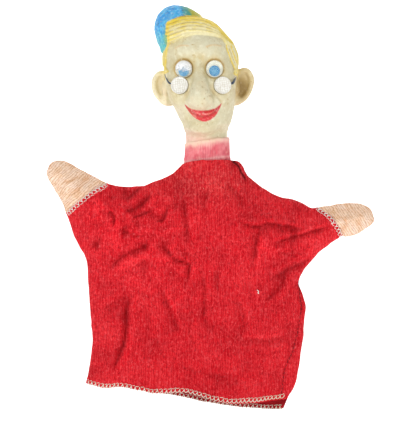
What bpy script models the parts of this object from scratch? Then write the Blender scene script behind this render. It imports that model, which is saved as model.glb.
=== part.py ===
"""Glove puppet with a moulded rubber head, rolling eyes, spectacles and a two-panel cloth tunic.

The puppet stands up along +Z and faces -Y. The origin is the middle of the hem opening, where the hand goes in.
Left and right are the puppet's own, so its right arm is at -X. Shapes are written in millimetres and made in metres.
"""

import math

import bmesh
import bpy
from mathutils import Matrix, Vector

MM = 0.001

# Driving dimensions, in millimetres
CLOTH = 1.0          # thickness of the flannel panels
FELT = 1.2           # thickness of the flannel hands
GAP = 0.35           # free space kept between pieces that touch
SEAM_GAP = 0.3       # half the space between front and back panel along a seam
CHEST_DEPTH = 16.0   # half depth of the tunic over a hand
CUFF_DEPTH = 9.5     # half depth of a sleeve over a finger
MITT_DEPTH = 6.5     # half depth of a hand near its tip
THREAD = 0.7         # height of the overlock thread on the cloth

NECK_X = 10.4        # the neck stands off centre, as the tunic leans
NECK_RADIUS = 14.9
NECK_TOP_RADIUS = 14.1
NECK_FOOT = 139.5
GROOVE_Z = 145.0     # the tie's groove, and the height the head nods about
GROOVE_RADIUS = 13.4
BORE_RADIUS = 10.0
COLLAR_RADIUS = 16.4  # inside of the cloth round the neck

EYE_RADIUS = 5.4
EYE_Z = 212.2
EYE_X = {"right": -5.3, "left": 14.6}
SOCKET_FLOOR = -21.5
PUPIL_RADIUS = 3.5
PUPIL_DROP = 1.3     # how far the loose disc hangs below the middle of its eye
LENS_RADIUS = 5.6
LENS_Z = 201.6
LENS_X = {"right": -8.1, "left": 19.9}
LENS_BACK = -22.6

# Outlines in the XZ plane. Side seams run up from the hem to the cuff, top seams from the neck to the cuff.
HEM = {
    "front": [(-68.9, 7.8), (-56.5, 5.2), (-24, 2.6), (5.2, -0.6), (23.4, -3.6), (45, -3.8), (61.2, -3.2)],
    "back": [(-68.9, 7.6), (-56.5, 5.0), (-24, 2.0), (5.2, -2.2), (23.4, -6.4), (45, -7.4), (60, -7.6)],
}
SIDE_SEAM = {
    "right": [(-68.9, 7.8), (-65.2, 36), (-66.6, 56), (-67.6, 72.2), (-68.4, 86), (-72.8, 96), (-77.4, 105.3),
              (-82.1, 118.4)],
    "left": [(60, -7.6), (61.8, -3), (67.5, 8), (72, 35), (73.9, 59.5), (69.6, 75), (79, 89), (88, 97.5),
             (98.2, 104)],
}
TOP_SEAM = {
    "right": [(-6.2, 151), (-12.4, 144.6), (-20, 141), (-34, 136.6), (-45, 136.2), (-55.3, 138.5)],
    "left": [(27.2, 152), (34.6, 144.6), (40, 139.8), (51, 132.5), (62, 128.6), (71.5, 126.1), (78.7, 122.2)],
}
MITT_TOP = {
    "right": [(-55.3, 138.5), (-67, 144.3), (-81.3, 152.1), (-88, 153.4)],
    "left": [(78.7, 122.2), (95.6, 124.8), (107.3, 125.1), (112, 124.4)],
}
MITT_LOW = {
    "right": [(-82.1, 118.4), (-84.5, 124.8), (-89, 132.6), (-93, 140.4)],
    "left": [(98.2, 104), (101, 103.4), (107.9, 105.3), (114.4, 109.2)],
}
MITT_TIP = {
    "right": [(-93, 140.4), (-94.9, 144.3), (-94.3, 148.6), (-88, 153.4)],
    "left": [(114.4, 109.2), (119, 113.1), (117.8, 120), (112, 124.4)],
}
# Each arm folds along a line across the top of its sleeve.
FOLD = {"right": ((-72.8, 96), (-45, 136.2)), "left": ((79, 89), (62, 128.6))}
# The shoulder cloth between the fold line and the yoke line crumples, and so does the cloth above the collar line.
YOKE = {"right": ((-67.6, 72.2), (-20, 141)), "left": ((73.9, 59.5), (40, 139.8))}
COLLAR_LINE = ((-14, 143.8), (36, 143.4))


# ---------------------------------------------------------------- curves in the XZ plane

def length_of(points):
    return sum(math.dist(a, b) for a, b in zip(points, points[1:]))


def at_share(points, share):
    """The point this share of the way along a polyline."""
    left = share * length_of(points)
    for a, b in zip(points, points[1:]):
        step = math.dist(a, b)
        if left <= step or b is points[-1]:
            t = min(1.0, left / step)
            return (a[0] + (b[0] - a[0]) * t, a[1] + (b[1] - a[1]) * t)
        left -= step
    return points[-1]


def smooth(points, per_span=5):
    """A Catmull-Rom curve through a few outline points."""
    if len(points) < 3:
        return list(points)
    ends = [points[0], *points, points[-1]]
    curve = []
    for a, b, c, d in zip(ends, ends[1:], ends[2:], ends[3:]):
        for i in range(per_span):
            t = i / per_span
            curve.append(tuple(
                0.5 * (2 * b[k] + (c[k] - a[k]) * t + (2 * a[k] - 5 * b[k] + 4 * c[k] - d[k]) * t * t
                       + (3 * b[k] - a[k] - 3 * c[k] + d[k]) * t ** 3)
                for k in (0, 1)))
    return curve + [points[-1]]


def between(points, start, end):
    """The stretch of an outline between its points nearest start and end."""
    def nearest(p):
        return min(range(len(points)), key=lambda i: math.dist(points[i], p))
    i, j = nearest(start), nearest(end)
    return points[i:j + 1]


def shifted(points, dx, dz):
    return [(x + dx, z + dz) for x, z in points]


def distance_to(p, line):
    best = 1e9
    for a, b in zip(line, line[1:]):
        ab = (b[0] - a[0], b[1] - a[1])
        t = ((p[0] - a[0]) * ab[0] + (p[1] - a[1]) * ab[1]) / (ab[0] ** 2 + ab[1] ** 2)
        t = max(0.0, min(1.0, t))
        best = min(best, math.dist(p, (a[0] + ab[0] * t, a[1] + ab[1] * t)))
    return best


def smoothstep(value, low, high):
    t = max(0.0, min(1.0, (value - low) / (high - low)))
    return t * t * (3 - 2 * t)


# ---------------------------------------------------------------- how far the cloth stands out

SEAM_LINES = [smooth(line) for side in ("right", "left")
              for line in (SIDE_SEAM[side], TOP_SEAM[side], MITT_TOP[side], MITT_TIP[side], MITT_LOW[side])]


def out_along_arm(side, p):
    """Distance of a point beyond the arm's fold line, towards the hand."""
    a, b = FOLD[side]
    along = ((b[0] - a[0]), (b[1] - a[1]))
    size = math.hypot(*along)
    normal = (-along[1] / size, along[0] / size) if side == "right" else (along[1] / size, -along[0] / size)
    return (p[0] - a[0]) * normal[0] + (p[1] - a[1]) * normal[1]


def bulge(p):
    """Half depth of the tunic at a point: nothing at the seams, most over the hand, round at the neck."""
    side = "right" if p[0] < 0 else "left"
    out = out_along_arm(side, p)
    sleeve = smoothstep(out, -34, 12)
    hand = smoothstep(out, 12, 45)
    depth = CHEST_DEPTH + (CUFF_DEPTH - CHEST_DEPTH) * sleeve + (MITT_DEPTH - CUFF_DEPTH) * hand
    reach = 34 - 20 * sleeve
    d = min(min(distance_to(p, line) for line in SEAM_LINES), reach)
    body = depth * math.sin(0.5 * math.pi * d / reach) ** 0.9
    across = COLLAR_RADIUS ** 2 - (p[0] - NECK_X) ** 2
    neck = math.sqrt(max(across, 0.0)) * smoothstep(p[1], 112, 139)
    return max(body, neck)


# ---------------------------------------------------------------- helpers that make objects

def material(name, colour, roughness, metallic=0.0, alpha=1.0):
    made = bpy.data.materials.new(name)
    made.use_nodes = True
    shader = made.node_tree.nodes["Principled BSDF"]
    shader.inputs["Base Color"].default_value = (*colour, 1.0)
    shader.inputs["Roughness"].default_value = roughness
    shader.inputs["Metallic"].default_value = metallic
    shader.inputs["Alpha"].default_value = alpha
    return made


def finish_mesh(name, bm, mat, smooth_angle=40):
    bmesh.ops.recalc_face_normals(bm, faces=bm.faces)
    mesh = bpy.data.meshes.new(name)
    bm.to_mesh(mesh)
    bm.free()
    mesh.materials.append(mat)
    mesh.shade_smooth()
    mesh.set_sharp_from_angle(angle=math.radians(smooth_angle))
    made = bpy.data.objects.new(name, mesh)
    bpy.context.scene.collection.objects.link(made)
    return made


def hang(made, pivot):
    """Puts a piece under an empty at its joint, and leaves it where it is."""
    made.parent = pivot
    made.matrix_parent_inverse = pivot.matrix_world.inverted()


def pivot_at(name, x, y, z):
    empty = bpy.data.objects.new(name, None)
    empty.location = Vector((x, y, z)) * MM
    bpy.context.scene.collection.objects.link(empty)
    bpy.context.view_layer.update()
    return empty


def even(points, count):
    """This many steps along a polyline, evenly spaced."""
    return [at_share(points, k / count) for k in range(count + 1)]


def joined(*stretches):
    """Sampled stretches end to end, so that their corners are kept."""
    line = list(stretches[0])
    for stretch in stretches[1:]:
        line += stretch[1:]
    return line


def patch_point(low, top, start, end, i, j):
    """A point of the patch between four sampled edges: low and top run with i, start and end run with j."""
    u, v = i / (len(low) - 1), j / (len(start) - 1)
    return tuple(
        (1 - v) * low[i][k] + v * top[i][k] + (1 - u) * start[j][k] + u * end[j][k]
        - ((1 - u) * (1 - v) * low[0][k] + u * (1 - v) * low[-1][k]
           + (1 - u) * v * top[0][k] + u * v * top[-1][k])
        for k in (0, 1))


def cloth_panel(name, face, edges, mat, thickness=CLOTH, lift=0.0):
    """A curved panel of cloth on the front or back of the tunic, as one closed solid."""
    sign = -1 if face == "front" else 1
    nu, nv = len(edges[0]) - 1, len(edges[2]) - 1
    bm = bmesh.new()
    layers = ([], [])
    for j in range(nv + 1):
        for i in range(nu + 1):
            x, z = patch_point(*edges, i, j)
            inner = SEAM_GAP + bulge((x, z)) + lift
            for layer, y in zip(layers, (inner, inner + thickness)):
                layer.append(bm.verts.new(Vector((x, sign * y, z)) * MM))

    def index(i, j):
        return j * (nu + 1) + i

    for j in range(nv):
        for i in range(nu):
            quad = (index(i, j), index(i + 1, j), index(i + 1, j + 1), index(i, j + 1))
            bm.faces.new([layers[0][k] for k in quad])
            bm.faces.new([layers[1][k] for k in reversed(quad)])
    rim = [index(i, 0) for i in range(nu)] + [index(nu, j) for j in range(nv)]
    rim += [index(i, nv) for i in range(nu, 0, -1)] + [index(0, j) for j in range(nv, 0, -1)]
    for a, b in zip(rim, rim[1:] + rim[:1]):
        bm.faces.new((layers[0][a], layers[0][b], layers[1][b], layers[1][a]))
    return finish_mesh(name, bm, mat)


def lathe(name, profile, mat, segments=32, at=(0, 0, 0), axis="Z", start=0.0):
    """A turned solid from (radius, height) points, closed on its axis where the radius is nought."""
    bm = bmesh.new()
    rings = []
    for r, h in profile:
        if r == 0:
            rings.append([bm.verts.new((0, 0, h * MM))])
            continue
        rings.append([bm.verts.new((r * MM * math.cos(start + 2 * math.pi * k / segments),
                                    r * MM * math.sin(start + 2 * math.pi * k / segments), h * MM))
                      for k in range(segments)])
    pairs = list(zip(rings, rings[1:]))
    if profile[0][0] != 0:
        pairs.append((rings[-1], rings[0]))
    for low, high in pairs:
        for k in range(segments):
            n = (k + 1) % segments
            corners = [low[k % len(low)], low[n % len(low)], high[n % len(high)], high[k % len(high)]]
            bm.faces.new(list(dict.fromkeys(corners)))
    turn = Matrix.Rotation(math.radians(90), 4, "X") if axis == "-Y" else Matrix.Identity(4)
    bm.transform(Matrix.Translation(Vector(at) * MM) @ turn)
    return finish_mesh(name, bm, mat)


def ball(name, at, radii, mat, segments=24, rings=14, turn_z=0.0, turn_y=0.0):
    """An ellipsoid, turned about its own Y and then Z."""
    bm = bmesh.new()
    bmesh.ops.create_uvsphere(bm, u_segments=segments, v_segments=rings, radius=1.0)
    place = (Matrix.Translation(Vector(at) * MM) @ Matrix.Rotation(math.radians(turn_z), 4, "Z")
             @ Matrix.Rotation(math.radians(turn_y), 4, "Y") @ Matrix.Diagonal((*(Vector(radii) * MM), 1.0)))
    bm.transform(place)
    return finish_mesh(name, bm, mat, 60)


def as_tool(made):
    made.hide_render = True
    made.display_type = "WIRE"
    return made


def combine(target, tool, operation):
    step = target.modifiers.new(f"{operation.lower()}_{tool.name}", "BOOLEAN")
    step.operation = operation
    step.solver = "EXACT"
    step.object = as_tool(tool)


def tube(name, points, radius, mat, bevel_resolution=2):
    curve = bpy.data.curves.new(name, "CURVE")
    curve.dimensions = "3D"
    curve.bevel_depth = radius * MM
    curve.bevel_resolution = bevel_resolution
    curve.use_fill_caps = True
    spline = curve.splines.new("POLY")
    spline.points.add(len(points) - 1)
    for point, co in zip(spline.points, points):
        point.co = (*(Vector(co) * MM), 1.0)
    curve.materials.append(mat)
    made = bpy.data.objects.new(name, curve)
    bpy.context.scene.collection.objects.link(made)
    return made


# ---------------------------------------------------------------- the tunic

def side_stretch(side, start, end):
    return between(smooth(SIDE_SEAM[side]), start, end)


def top_stretch(side, start, end):
    return between(smooth(TOP_SEAM[side]), start, end)


def torso_edges(face):
    """Hem, top, right edge and left edge of the middle of a tunic panel, up to the yokes and the collar."""
    low = even(smooth(HEM[face]), 22)
    right = joined(even([low[0], *side_stretch("right", SIDE_SEAM["right"][0], YOKE["right"][0])[1:]], 9),
                   even(YOKE["right"], 9))
    left = joined(even([low[-1], *side_stretch("left", SIDE_SEAM["left"][1], YOKE["left"][0])], 9),
                  even(YOKE["left"], 9))
    top = joined(even([YOKE["right"][-1], COLLAR_LINE[0]], 2), even(COLLAR_LINE, 18),
                 even([COLLAR_LINE[1], YOKE["left"][-1]], 2))
    return low, top, right, left


def collar_edges():
    low = even(shifted(COLLAR_LINE, 0, GAP), 20)
    top = even(smooth([TOP_SEAM["right"][0], (NECK_X - 8, 153), (NECK_X + 8, 153.6), TOP_SEAM["left"][0]]), 20)
    right = even([low[0], TOP_SEAM["right"][1], top[0]], 3)
    left = even([low[-1], TOP_SEAM["left"][1], top[-1]], 3)
    return low, top, right, left


def yoke_edges(side):
    """The cloth at a shoulder, which crumples as the arm moves."""
    sign = -1 if side == "right" else 1
    inner = shifted(YOKE[side], sign * GAP, 0)
    fold = FOLD[side]
    low = even([inner[0], *side_stretch(side, YOKE[side][0], fold[0])[1:]], 5)
    top = even([inner[-1], *top_stretch(side, YOKE[side][-1], fold[1])[1:]], 5)
    return low, top, even(inner, 9), even(fold, 9)


def sleeve_edges(side):
    sign = -1 if side == "right" else 1
    fold = shifted(FOLD[side], sign * (GAP + 0.1), 0)
    cuff = [SIDE_SEAM[side][-1], TOP_SEAM[side][-1]]
    low = even([fold[0], *side_stretch(side, FOLD[side][0], cuff[0])[1:]], 6)
    top = even([fold[1], *top_stretch(side, FOLD[side][1], cuff[1])[1:]], 6)
    return low, top, even(fold, 9), even(cuff, 9)


def mitt_edges(side):
    out = (-0.35, 0.35) if side == "right" else (0.4, 0.25)
    low = even(shifted(smooth(MITT_LOW[side]), *out), 7)
    top = even(shifted(smooth(MITT_TOP[side]), *out), 7)
    return low, top, even([low[0], top[0]], 9), even(shifted(smooth(MITT_TIP[side]), *out), 9)


def cuff_edges(side, half_width=1.3):
    a, b = SIDE_SEAM[side][-1], TOP_SEAM[side][-1]
    away = (-0.6, 0.8) if side == "right" else (0.68, 0.73)
    inner = even(shifted([a, b], -half_width * away[0], -half_width * away[1]), 9)
    outer = even(shifted([a, b], half_width * away[0], half_width * away[1]), 9)
    return [inner[0], outer[0]], [inner[-1], outer[-1]], inner, outer


def hem_edges(face, width=3.2):
    low = even(smooth(HEM[face]), 22)
    top = shifted(low, 0, width)
    return low, top, [low[0], top[0]], [low[-1], top[-1]]


def make_tunic(red, thread, skin_cloth):
    """Returns the pieces by the pivot that carries them."""
    pieces = {"collar": [], "right_shoulder": [], "left_shoulder": [], "right_arm": [], "left_arm": []}
    for face in ("front", "back"):
        cloth_panel(f"tunic_{face}", face, torso_edges(face), red)
        cloth_panel(f"hem_overlock_{face}", face, hem_edges(face), thread, THREAD, CLOTH + GAP + 0.25)
        pieces["collar"].append(cloth_panel(f"collar_{face}", face, collar_edges(), red))
        for side in ("right", "left"):
            shoulder = cloth_panel(f"{side}_shoulder_{face}", face, yoke_edges(side), red)
            sleeve = cloth_panel(f"{side}_sleeve_{face}", face, sleeve_edges(side), red)
            mitt = cloth_panel(f"{side}_hand_{face}", face, mitt_edges(side), skin_cloth, FELT)
            cuff = cloth_panel(f"{side}_cuff_overlock_{face}", face, cuff_edges(side), thread, THREAD,
                               FELT + GAP + 0.15)
            pieces[f"{side}_shoulder"].append(shoulder)
            pieces[f"{side}_arm"] += [sleeve, mitt, cuff]
    return pieces


def make_side_seams(thread):
    """The overlocked seam allowance inside each side seam, from the hem to below the armpit."""
    inside = {"right": 4.2, "left": -4.2}
    for side, start, end in (("right", (-67, 20), (-67, 60)), ("left", (69.5, 20), (73.9, 56))):
        line = side_stretch(side, start, end)
        count = 12
        route = [at_share(line, k / count) for k in range(count + 1)]
        tube(f"{side}_side_seam", [(x + inside[side], 0, z) for x, z in route], 0.9, thread)


# ---------------------------------------------------------------- the head

def neck_profile():
    """The neck below the chin: a moulded roll collar, the groove for the tie and the foot flange."""
    return [(0, NECK_FOOT), (NECK_RADIUS, NECK_FOOT), (NECK_RADIUS, GROOVE_Z - 1.6),
            (GROOVE_RADIUS, GROOVE_Z - 1.6), (GROOVE_RADIUS, GROOVE_Z + 1.6), (NECK_RADIUS, GROOVE_Z + 1.6),
            (NECK_RADIUS, 157), (NECK_TOP_RADIUS, 167.7), (NECK_TOP_RADIUS - 1.0, 168.8), (13.0, 180), (0, 182)]


def make_head_shell(rubber):
    head = ball("head_shell", (5.5, 2, 216), (24.4, 29, 29), rubber, 32, 20)
    centre = (NECK_X, 0, 0)
    additions = [
        ball("jaw_form", (7, -2, 196), (21.5, 24, 25), rubber, 28, 16),
        lathe("neck_form", neck_profile(), rubber, 32, centre, start=0.05),
        ball("nose_form", (5.5, -25.5, 197.4), (7.3, 9.5, 11), rubber, 16, 12),
        ball("right_ear_form", (-20.5, 4, 201.6), (8, 3.2, 11.6), rubber, 16, 12, turn_z=-18, turn_y=-8),
        ball("left_ear_form", (32.2, 4, 202.4), (8.4, 3.2, 11.6), rubber, 16, 12, turn_z=18, turn_y=8),
        ball("cap_form", (-7, 8, 236), (18, 20, 18.6), rubber, 24, 14),
        ball("forelock_form", (-3, -8, 233.5), (14.5, 18, 11.5), rubber, 20, 12, turn_y=10),
    ]
    for side in ("right", "left"):
        disc = [(0, 6), (4.9, 6), (4.9, -LENS_BACK - GAP), (0, -LENS_BACK - GAP)]
        additions.append(lathe(f"{side}_cheek_form", disc, rubber, 20, (LENS_X[side], 0, LENS_Z), "-Y", start=0.07))
    for form in additions:
        combine(head, form, "UNION")
    cuts = [
        lathe("finger_bore", [(0, NECK_FOOT - 6), (BORE_RADIUS, NECK_FOOT - 6), (BORE_RADIUS, 192), (0, 192)],
              rubber, 28, centre, start=0.11),
        ball("head_hollow", (5.5, 4.2, 214), (21.3, 23.2, 27), rubber, 24, 16, turn_z=4),
        ball("jaw_hollow", (7, -1, 198), (17.6, 18.5, 21), rubber, 24, 16, turn_z=11),
    ]
    for side in ("right", "left"):
        socket = [(0, -SOCKET_FLOOR), (EYE_RADIUS + 0.7, -SOCKET_FLOOR), (EYE_RADIUS + 0.7, 45), (0, 45)]
        cuts.append(lathe(f"{side}_eye_socket", socket, rubber, 24, (EYE_X[side], 0, EYE_Z), "-Y", start=0.09))
        front = -LENS_BACK - GAP
        seat = [(0, front), (LENS_RADIUS + GAP, front), (LENS_RADIUS + GAP, 45), (0, 45)]
        cuts.append(lathe(f"{side}_lens_seat", seat, rubber, 24, (LENS_X[side], 0, LENS_Z), "-Y", start=0.13))
    for cut in cuts:
        combine(head, cut, "DIFFERENCE")
    return head


def make_eye(side, white, blue, clear):
    """A rolling eye: a white cup, a loose blue disc and a clear dome over both."""
    centre = (EYE_X[side], 0, EYE_Z)
    back = -SOCKET_FLOOR + GAP
    cup = [(0, back), (EYE_RADIUS, back), (EYE_RADIUS, back + 0.9), (0, back + 0.9)]
    cup = lathe(f"{side}_eye_cup", cup, white, 28, centre, "-Y")
    foot = back + 0.9 + GAP
    rise = 2.9
    outer = [(EYE_RADIUS * math.cos(a), foot + 0.4 + rise * math.sin(a))
             for a in (math.radians(k * 90 / 6) for k in range(6))]
    inner = [((EYE_RADIUS - 0.45) * math.cos(a), foot + 0.4 + (rise - 0.45) * math.sin(a))
             for a in (math.radians(k * 90 / 6) for k in range(5, -1, -1))]
    profile = [(0, foot + 0.4 + rise), *reversed(outer), (EYE_RADIUS, foot), (EYE_RADIUS - 0.45, foot)]
    profile += [*reversed(inner), (0, foot - 0.05 + rise)]
    dome = lathe(f"{side}_eye_dome", profile, clear, 28, centre, "-Y")
    disc = [(0, foot + 0.1), (PUPIL_RADIUS, foot + 0.1), (PUPIL_RADIUS, foot + 0.6), (0, foot + 0.6)]
    pupil = lathe(f"{side}_pupil", disc, blue, 24, (centre[0], 0, EYE_Z - PUPIL_DROP), "-Y")
    return cup, dome, pupil


def make_spectacle(side, white, wire):
    centre = (LENS_X[side], 0, LENS_Z)
    front = -LENS_BACK
    disc = [(0, front), (LENS_RADIUS, front), (LENS_RADIUS, front + 1.5), (LENS_RADIUS - 0.7, front + 1.5),
            (LENS_RADIUS - 0.9, front + 1.1), (0, front + 1.1)]
    lens = lathe(f"{side}_spectacle_lens", disc, white, 28, centre, "-Y")
    sign = -1 if side == "right" else 1
    start = Vector((centre[0] + sign * (LENS_RADIUS + 0.9), LENS_BACK - 0.4, LENS_Z + 0.6))
    ear = {"right": Vector((-21.2, -3.2, 209.0)), "left": Vector((31.6, -3.2, 209.4))}[side]
    route = [start.lerp(ear, k / 8) + Vector((sign * 1.6, 0, -0.8)) * math.sin(math.pi * k / 8) for k in range(9)]
    temple = tube(f"{side}_spectacle_temple", route, 0.45, wire)
    return lens, temple


def make_neck_tie(thread):
    """The thread that binds the cloth into the neck's groove."""
    middle, wall = 15.0, 0.6
    ring = [(middle + wall * math.cos(a), GROOVE_Z + wall * math.sin(a))
            for a in (2 * math.pi * k / 8 for k in range(8))]
    return lathe("neck_tie", ring, thread, 32, (NECK_X, 0, 0))


# ---------------------------------------------------------------- assembly

def clear_scene():
    for old in list(bpy.data.objects):
        bpy.data.objects.remove(old)


def main():
    clear_scene()
    red = material("red_flannel", (0.72, 0.03, 0.045), 0.95)
    skin_cloth = material("peach_flannel", (0.9, 0.66, 0.5), 0.95)
    thread = material("overlock_thread", (0.86, 0.8, 0.72), 0.8)
    rubber = material("painted_rubber", (0.83, 0.76, 0.57), 0.5)
    white = material("white_plastic", (0.9, 0.9, 0.86), 0.35)
    chalk = material("lens_white", (0.88, 0.87, 0.82), 0.7)
    blue = material("blue_disc", (0.13, 0.42, 0.66), 0.5)
    clear = material("clear_dome", (0.95, 0.97, 1.0), 0.05, alpha=0.25)
    wire = material("dark_wire", (0.1, 0.11, 0.15), 0.4, 0.7)

    pieces = make_tunic(red, thread, skin_cloth)
    make_side_seams(thread)
    pieces["collar"].append(make_neck_tie(thread))

    neck = pivot_at("collar_pivot", NECK_X, 0, GROOVE_Z)
    for piece in pieces["collar"]:
        hang(piece, neck)
    for side in ("right", "left"):
        a, b = FOLD[side]
        middle = ((a[0] + b[0]) / 2, 0, (a[1] + b[1]) / 2)
        shoulder = pivot_at(f"{side}_shoulder_pivot", *middle)
        arm = pivot_at(f"{side}_arm_pivot", *middle)
        hang(arm, shoulder)
        for piece in pieces[f"{side}_shoulder"]:
            hang(piece, shoulder)
        for piece in pieces[f"{side}_arm"]:
            hang(piece, arm)

    head = pivot_at("head_pivot", NECK_X, 0, GROOVE_Z)
    hang(head, neck)
    hang(make_head_shell(rubber), head)
    for side in ("right", "left"):
        cup, dome, pupil = make_eye(side, white, blue, clear)
        lens, temple = make_spectacle(side, chalk, wire)
        for piece in (cup, dome, lens, temple):
            hang(piece, head)
        eye = pivot_at(f"{side}_pupil_pivot", EYE_X[side], SOCKET_FLOOR, EYE_Z)
        hang(eye, head)
        hang(pupil, eye)


main()
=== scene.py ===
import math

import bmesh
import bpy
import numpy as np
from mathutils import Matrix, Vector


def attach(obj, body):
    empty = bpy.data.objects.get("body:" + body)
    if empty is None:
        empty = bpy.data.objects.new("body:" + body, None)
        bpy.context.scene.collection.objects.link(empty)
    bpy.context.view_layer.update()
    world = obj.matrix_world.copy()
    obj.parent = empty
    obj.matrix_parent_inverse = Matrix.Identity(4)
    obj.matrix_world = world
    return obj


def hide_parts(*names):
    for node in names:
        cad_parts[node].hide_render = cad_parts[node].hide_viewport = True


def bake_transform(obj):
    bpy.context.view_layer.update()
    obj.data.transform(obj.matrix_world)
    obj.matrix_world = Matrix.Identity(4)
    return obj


EYE_CUP = [(0, 21.85), (5.2, 21.85), (5.42, 22.0), (5.5, 22.5), (5.5, 22.95), (5.38, 23.12), (5.2, 23.1),
           (5.08, 22.9), (4.9, 22.78), (3.0, 22.74), (1.2, 22.74), (0, 22.74)]
PUPIL_DISC = [(0, 23.2), (3.3, 23.2), (3.46, 23.28), (3.5, 23.4), (3.5, 23.52), (3.44, 23.64), (3.3, 23.7),
              (2.9, 23.68), (1.4, 23.66), (0, 23.66)]
EYE_DOME = [(5.42, 23.16), (5.42, 23.5), (5.3, 23.95), (5.02, 24.5), (4.6, 25.02), (4.0, 25.5), (3.2, 25.92),
            (2.3, 26.2), (1.3, 26.35), (0, 26.4), (0, 26.1), (1.25, 26.05), (2.2, 25.9), (3.05, 25.64),
            (3.8, 25.24), (4.36, 24.8), (4.76, 24.3), (5.02, 23.8), (5.1, 23.16)]
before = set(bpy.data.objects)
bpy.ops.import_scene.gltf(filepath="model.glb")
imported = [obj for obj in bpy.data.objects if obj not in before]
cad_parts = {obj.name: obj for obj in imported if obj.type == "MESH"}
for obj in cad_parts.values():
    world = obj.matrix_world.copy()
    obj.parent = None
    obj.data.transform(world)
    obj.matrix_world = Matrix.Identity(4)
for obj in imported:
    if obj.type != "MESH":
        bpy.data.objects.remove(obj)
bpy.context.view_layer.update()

# Shapes below are worked out in millimetres and written to meshes in metres.
# Right and left are the puppet's own: its right arm is at -X. It faces -Y.
MM = 0.001
SIDES = ("right", "left")
FACES = ("front", "back")
OUT = {"front": -1, "back": 1}      # which way along Y each face looks
UV_UNIT = 10                        # one unit of a cloth's UV map is 10 mm
BACK_UV_SHIFT = 31.7
STITCH_WIDTH, STITCH_PITCH = 2.6, 2.9


# ---------------------------------------------------------------- numbers and noise

def ramp(value, low, high):
    """A smooth step from 0 at low to 1 at high."""
    t = np.clip((np.asarray(value, dtype=float) - low) / (high - low), 0, 1)
    return t * t * (3 - 2 * t)


def mix(a, b, t):
    return a + (b - a) * t


def bell(value, width):
    """1 where the value is nought, dying away on both sides."""
    return np.exp(-(value / width) ** 2)


def blob(x, z, cx, cz, wide, high):
    """1 at a place in the XZ plane, dying away around it."""
    return np.exp(-(((x - cx) / wide) ** 2 + ((z - cz) / high) ** 2))


def xyz(x, y, z):
    """Points from three coordinates, each of them an array or one number."""
    return np.stack(np.broadcast_arrays(x, y, z), axis=-1)


def unit(vectors):
    return vectors / np.linalg.norm(vectors, axis=-1, keepdims=True)


def set_colour(mesh, colour):
    """Writes a colour for each point, with or without an alpha."""
    rgba = np.ones((len(colour), 4), dtype=np.float32)
    rgba[:, :np.shape(colour)[1]] = colour
    mesh.color_attributes.new("Col", "FLOAT_COLOR", "POINT").data.foreach_set("color", rgba.ravel())


def lattice(i, j, k, seed):
    n = (i * 73856093) ^ (j * 19349663) ^ (k * 83492791) ^ (seed * 2654435761)
    n = n & 0xFFFFFFFF
    n = ((n ^ (n >> 15)) * 2246822519) & 0xFFFFFFFF
    n = ((n ^ (n >> 13)) * 3266489917) & 0xFFFFFFFF
    return ((n ^ (n >> 16)) & 0xFFFFFF) / float(0xFFFFFF)


def noise(p, size, seed=0, octaves=2):
    """Smooth noise from -1 to 1 at points p, with lumps about size across."""
    total, weight, height = 0.0, 0.0, 1.0
    for octave in range(octaves):
        q = np.asarray(p, dtype=float) / size * 2 ** octave + 17.3 * (octave + seed)
        cell = np.floor(q).astype(np.int64)
        f = q - cell
        f = f * f * (3 - 2 * f)
        value = 0.0
        for dx in (0, 1):
            for dy in (0, 1):
                for dz in (0, 1):
                    share = (np.where(dx, f[:, 0], 1 - f[:, 0]) * np.where(dy, f[:, 1], 1 - f[:, 1])
                             * np.where(dz, f[:, 2], 1 - f[:, 2]))
                    value = value + share * lattice(cell[:, 0] + dx, cell[:, 1] + dy, cell[:, 2] + dz, seed + octave)
        total = total + height * (2 * value - 1)
        weight += height
        height *= 0.5
    return total / weight


def line_distance(px, pz, line):
    """Distance of points to a polyline in the XZ plane."""
    best = np.full(np.shape(px), 1e9)
    for (ax, az), (bx, bz) in zip(line, line[1:]):
        ux, uz = bx - ax, bz - az
        t = np.clip(((px - ax) * ux + (pz - az) * uz) / (ux * ux + uz * uz + 1e-12), 0, 1)
        best = np.minimum(best, np.hypot(px - ax - t * ux, pz - az - t * uz))
    return best


def outline_distance(px, pz, outline):
    """Signed distance to a closed outline in the XZ plane, less than nought inside."""
    closed = list(outline) + [outline[0]]
    inside = np.zeros(np.shape(px), dtype=bool)
    for (ax, az), (bx, bz) in zip(closed, closed[1:]):
        crosses = (az > pz) != (bz > pz)
        slope = (bx - ax) / (bz - az) if bz != az else 0.0
        inside ^= crosses & (px < ax + slope * (pz - az))
    d = line_distance(px, pz, closed)
    return np.where(inside, -d, d)


def curve_through(points, per_span=6, closed=False):
    """A Catmull-Rom curve through outline points of any number of coordinates."""
    pts = [np.array(p, dtype=float) for p in points]
    ends = [pts[-1], *pts, pts[0], pts[1]] if closed else [pts[0], *pts, pts[-1]]
    curve = []
    for a, b, c, d in zip(ends, ends[1:], ends[2:], ends[3:]):
        for i in range(per_span):
            t = i / per_span
            curve.append(0.5 * (2 * b + (c - a) * t + (2 * a - 5 * b + 4 * c - d) * t * t
                                + (3 * b - a - 3 * c + d) * t ** 3))
    return [tuple(p) for p in curve] + ([] if closed else [tuple(pts[-1])])


def spaced(points, count):
    """This many even steps along a polyline, as an array."""
    p = np.array(points, dtype=float)
    along = np.concatenate([[0], np.cumsum(np.linalg.norm(np.diff(p, axis=0), axis=1))])
    at = np.linspace(0, along[-1], count + 1)
    return np.stack([np.interp(at, along, p[:, k]) for k in range(p.shape[1])], axis=1)


# ---------------------------------------------------------------- meshes

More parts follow.
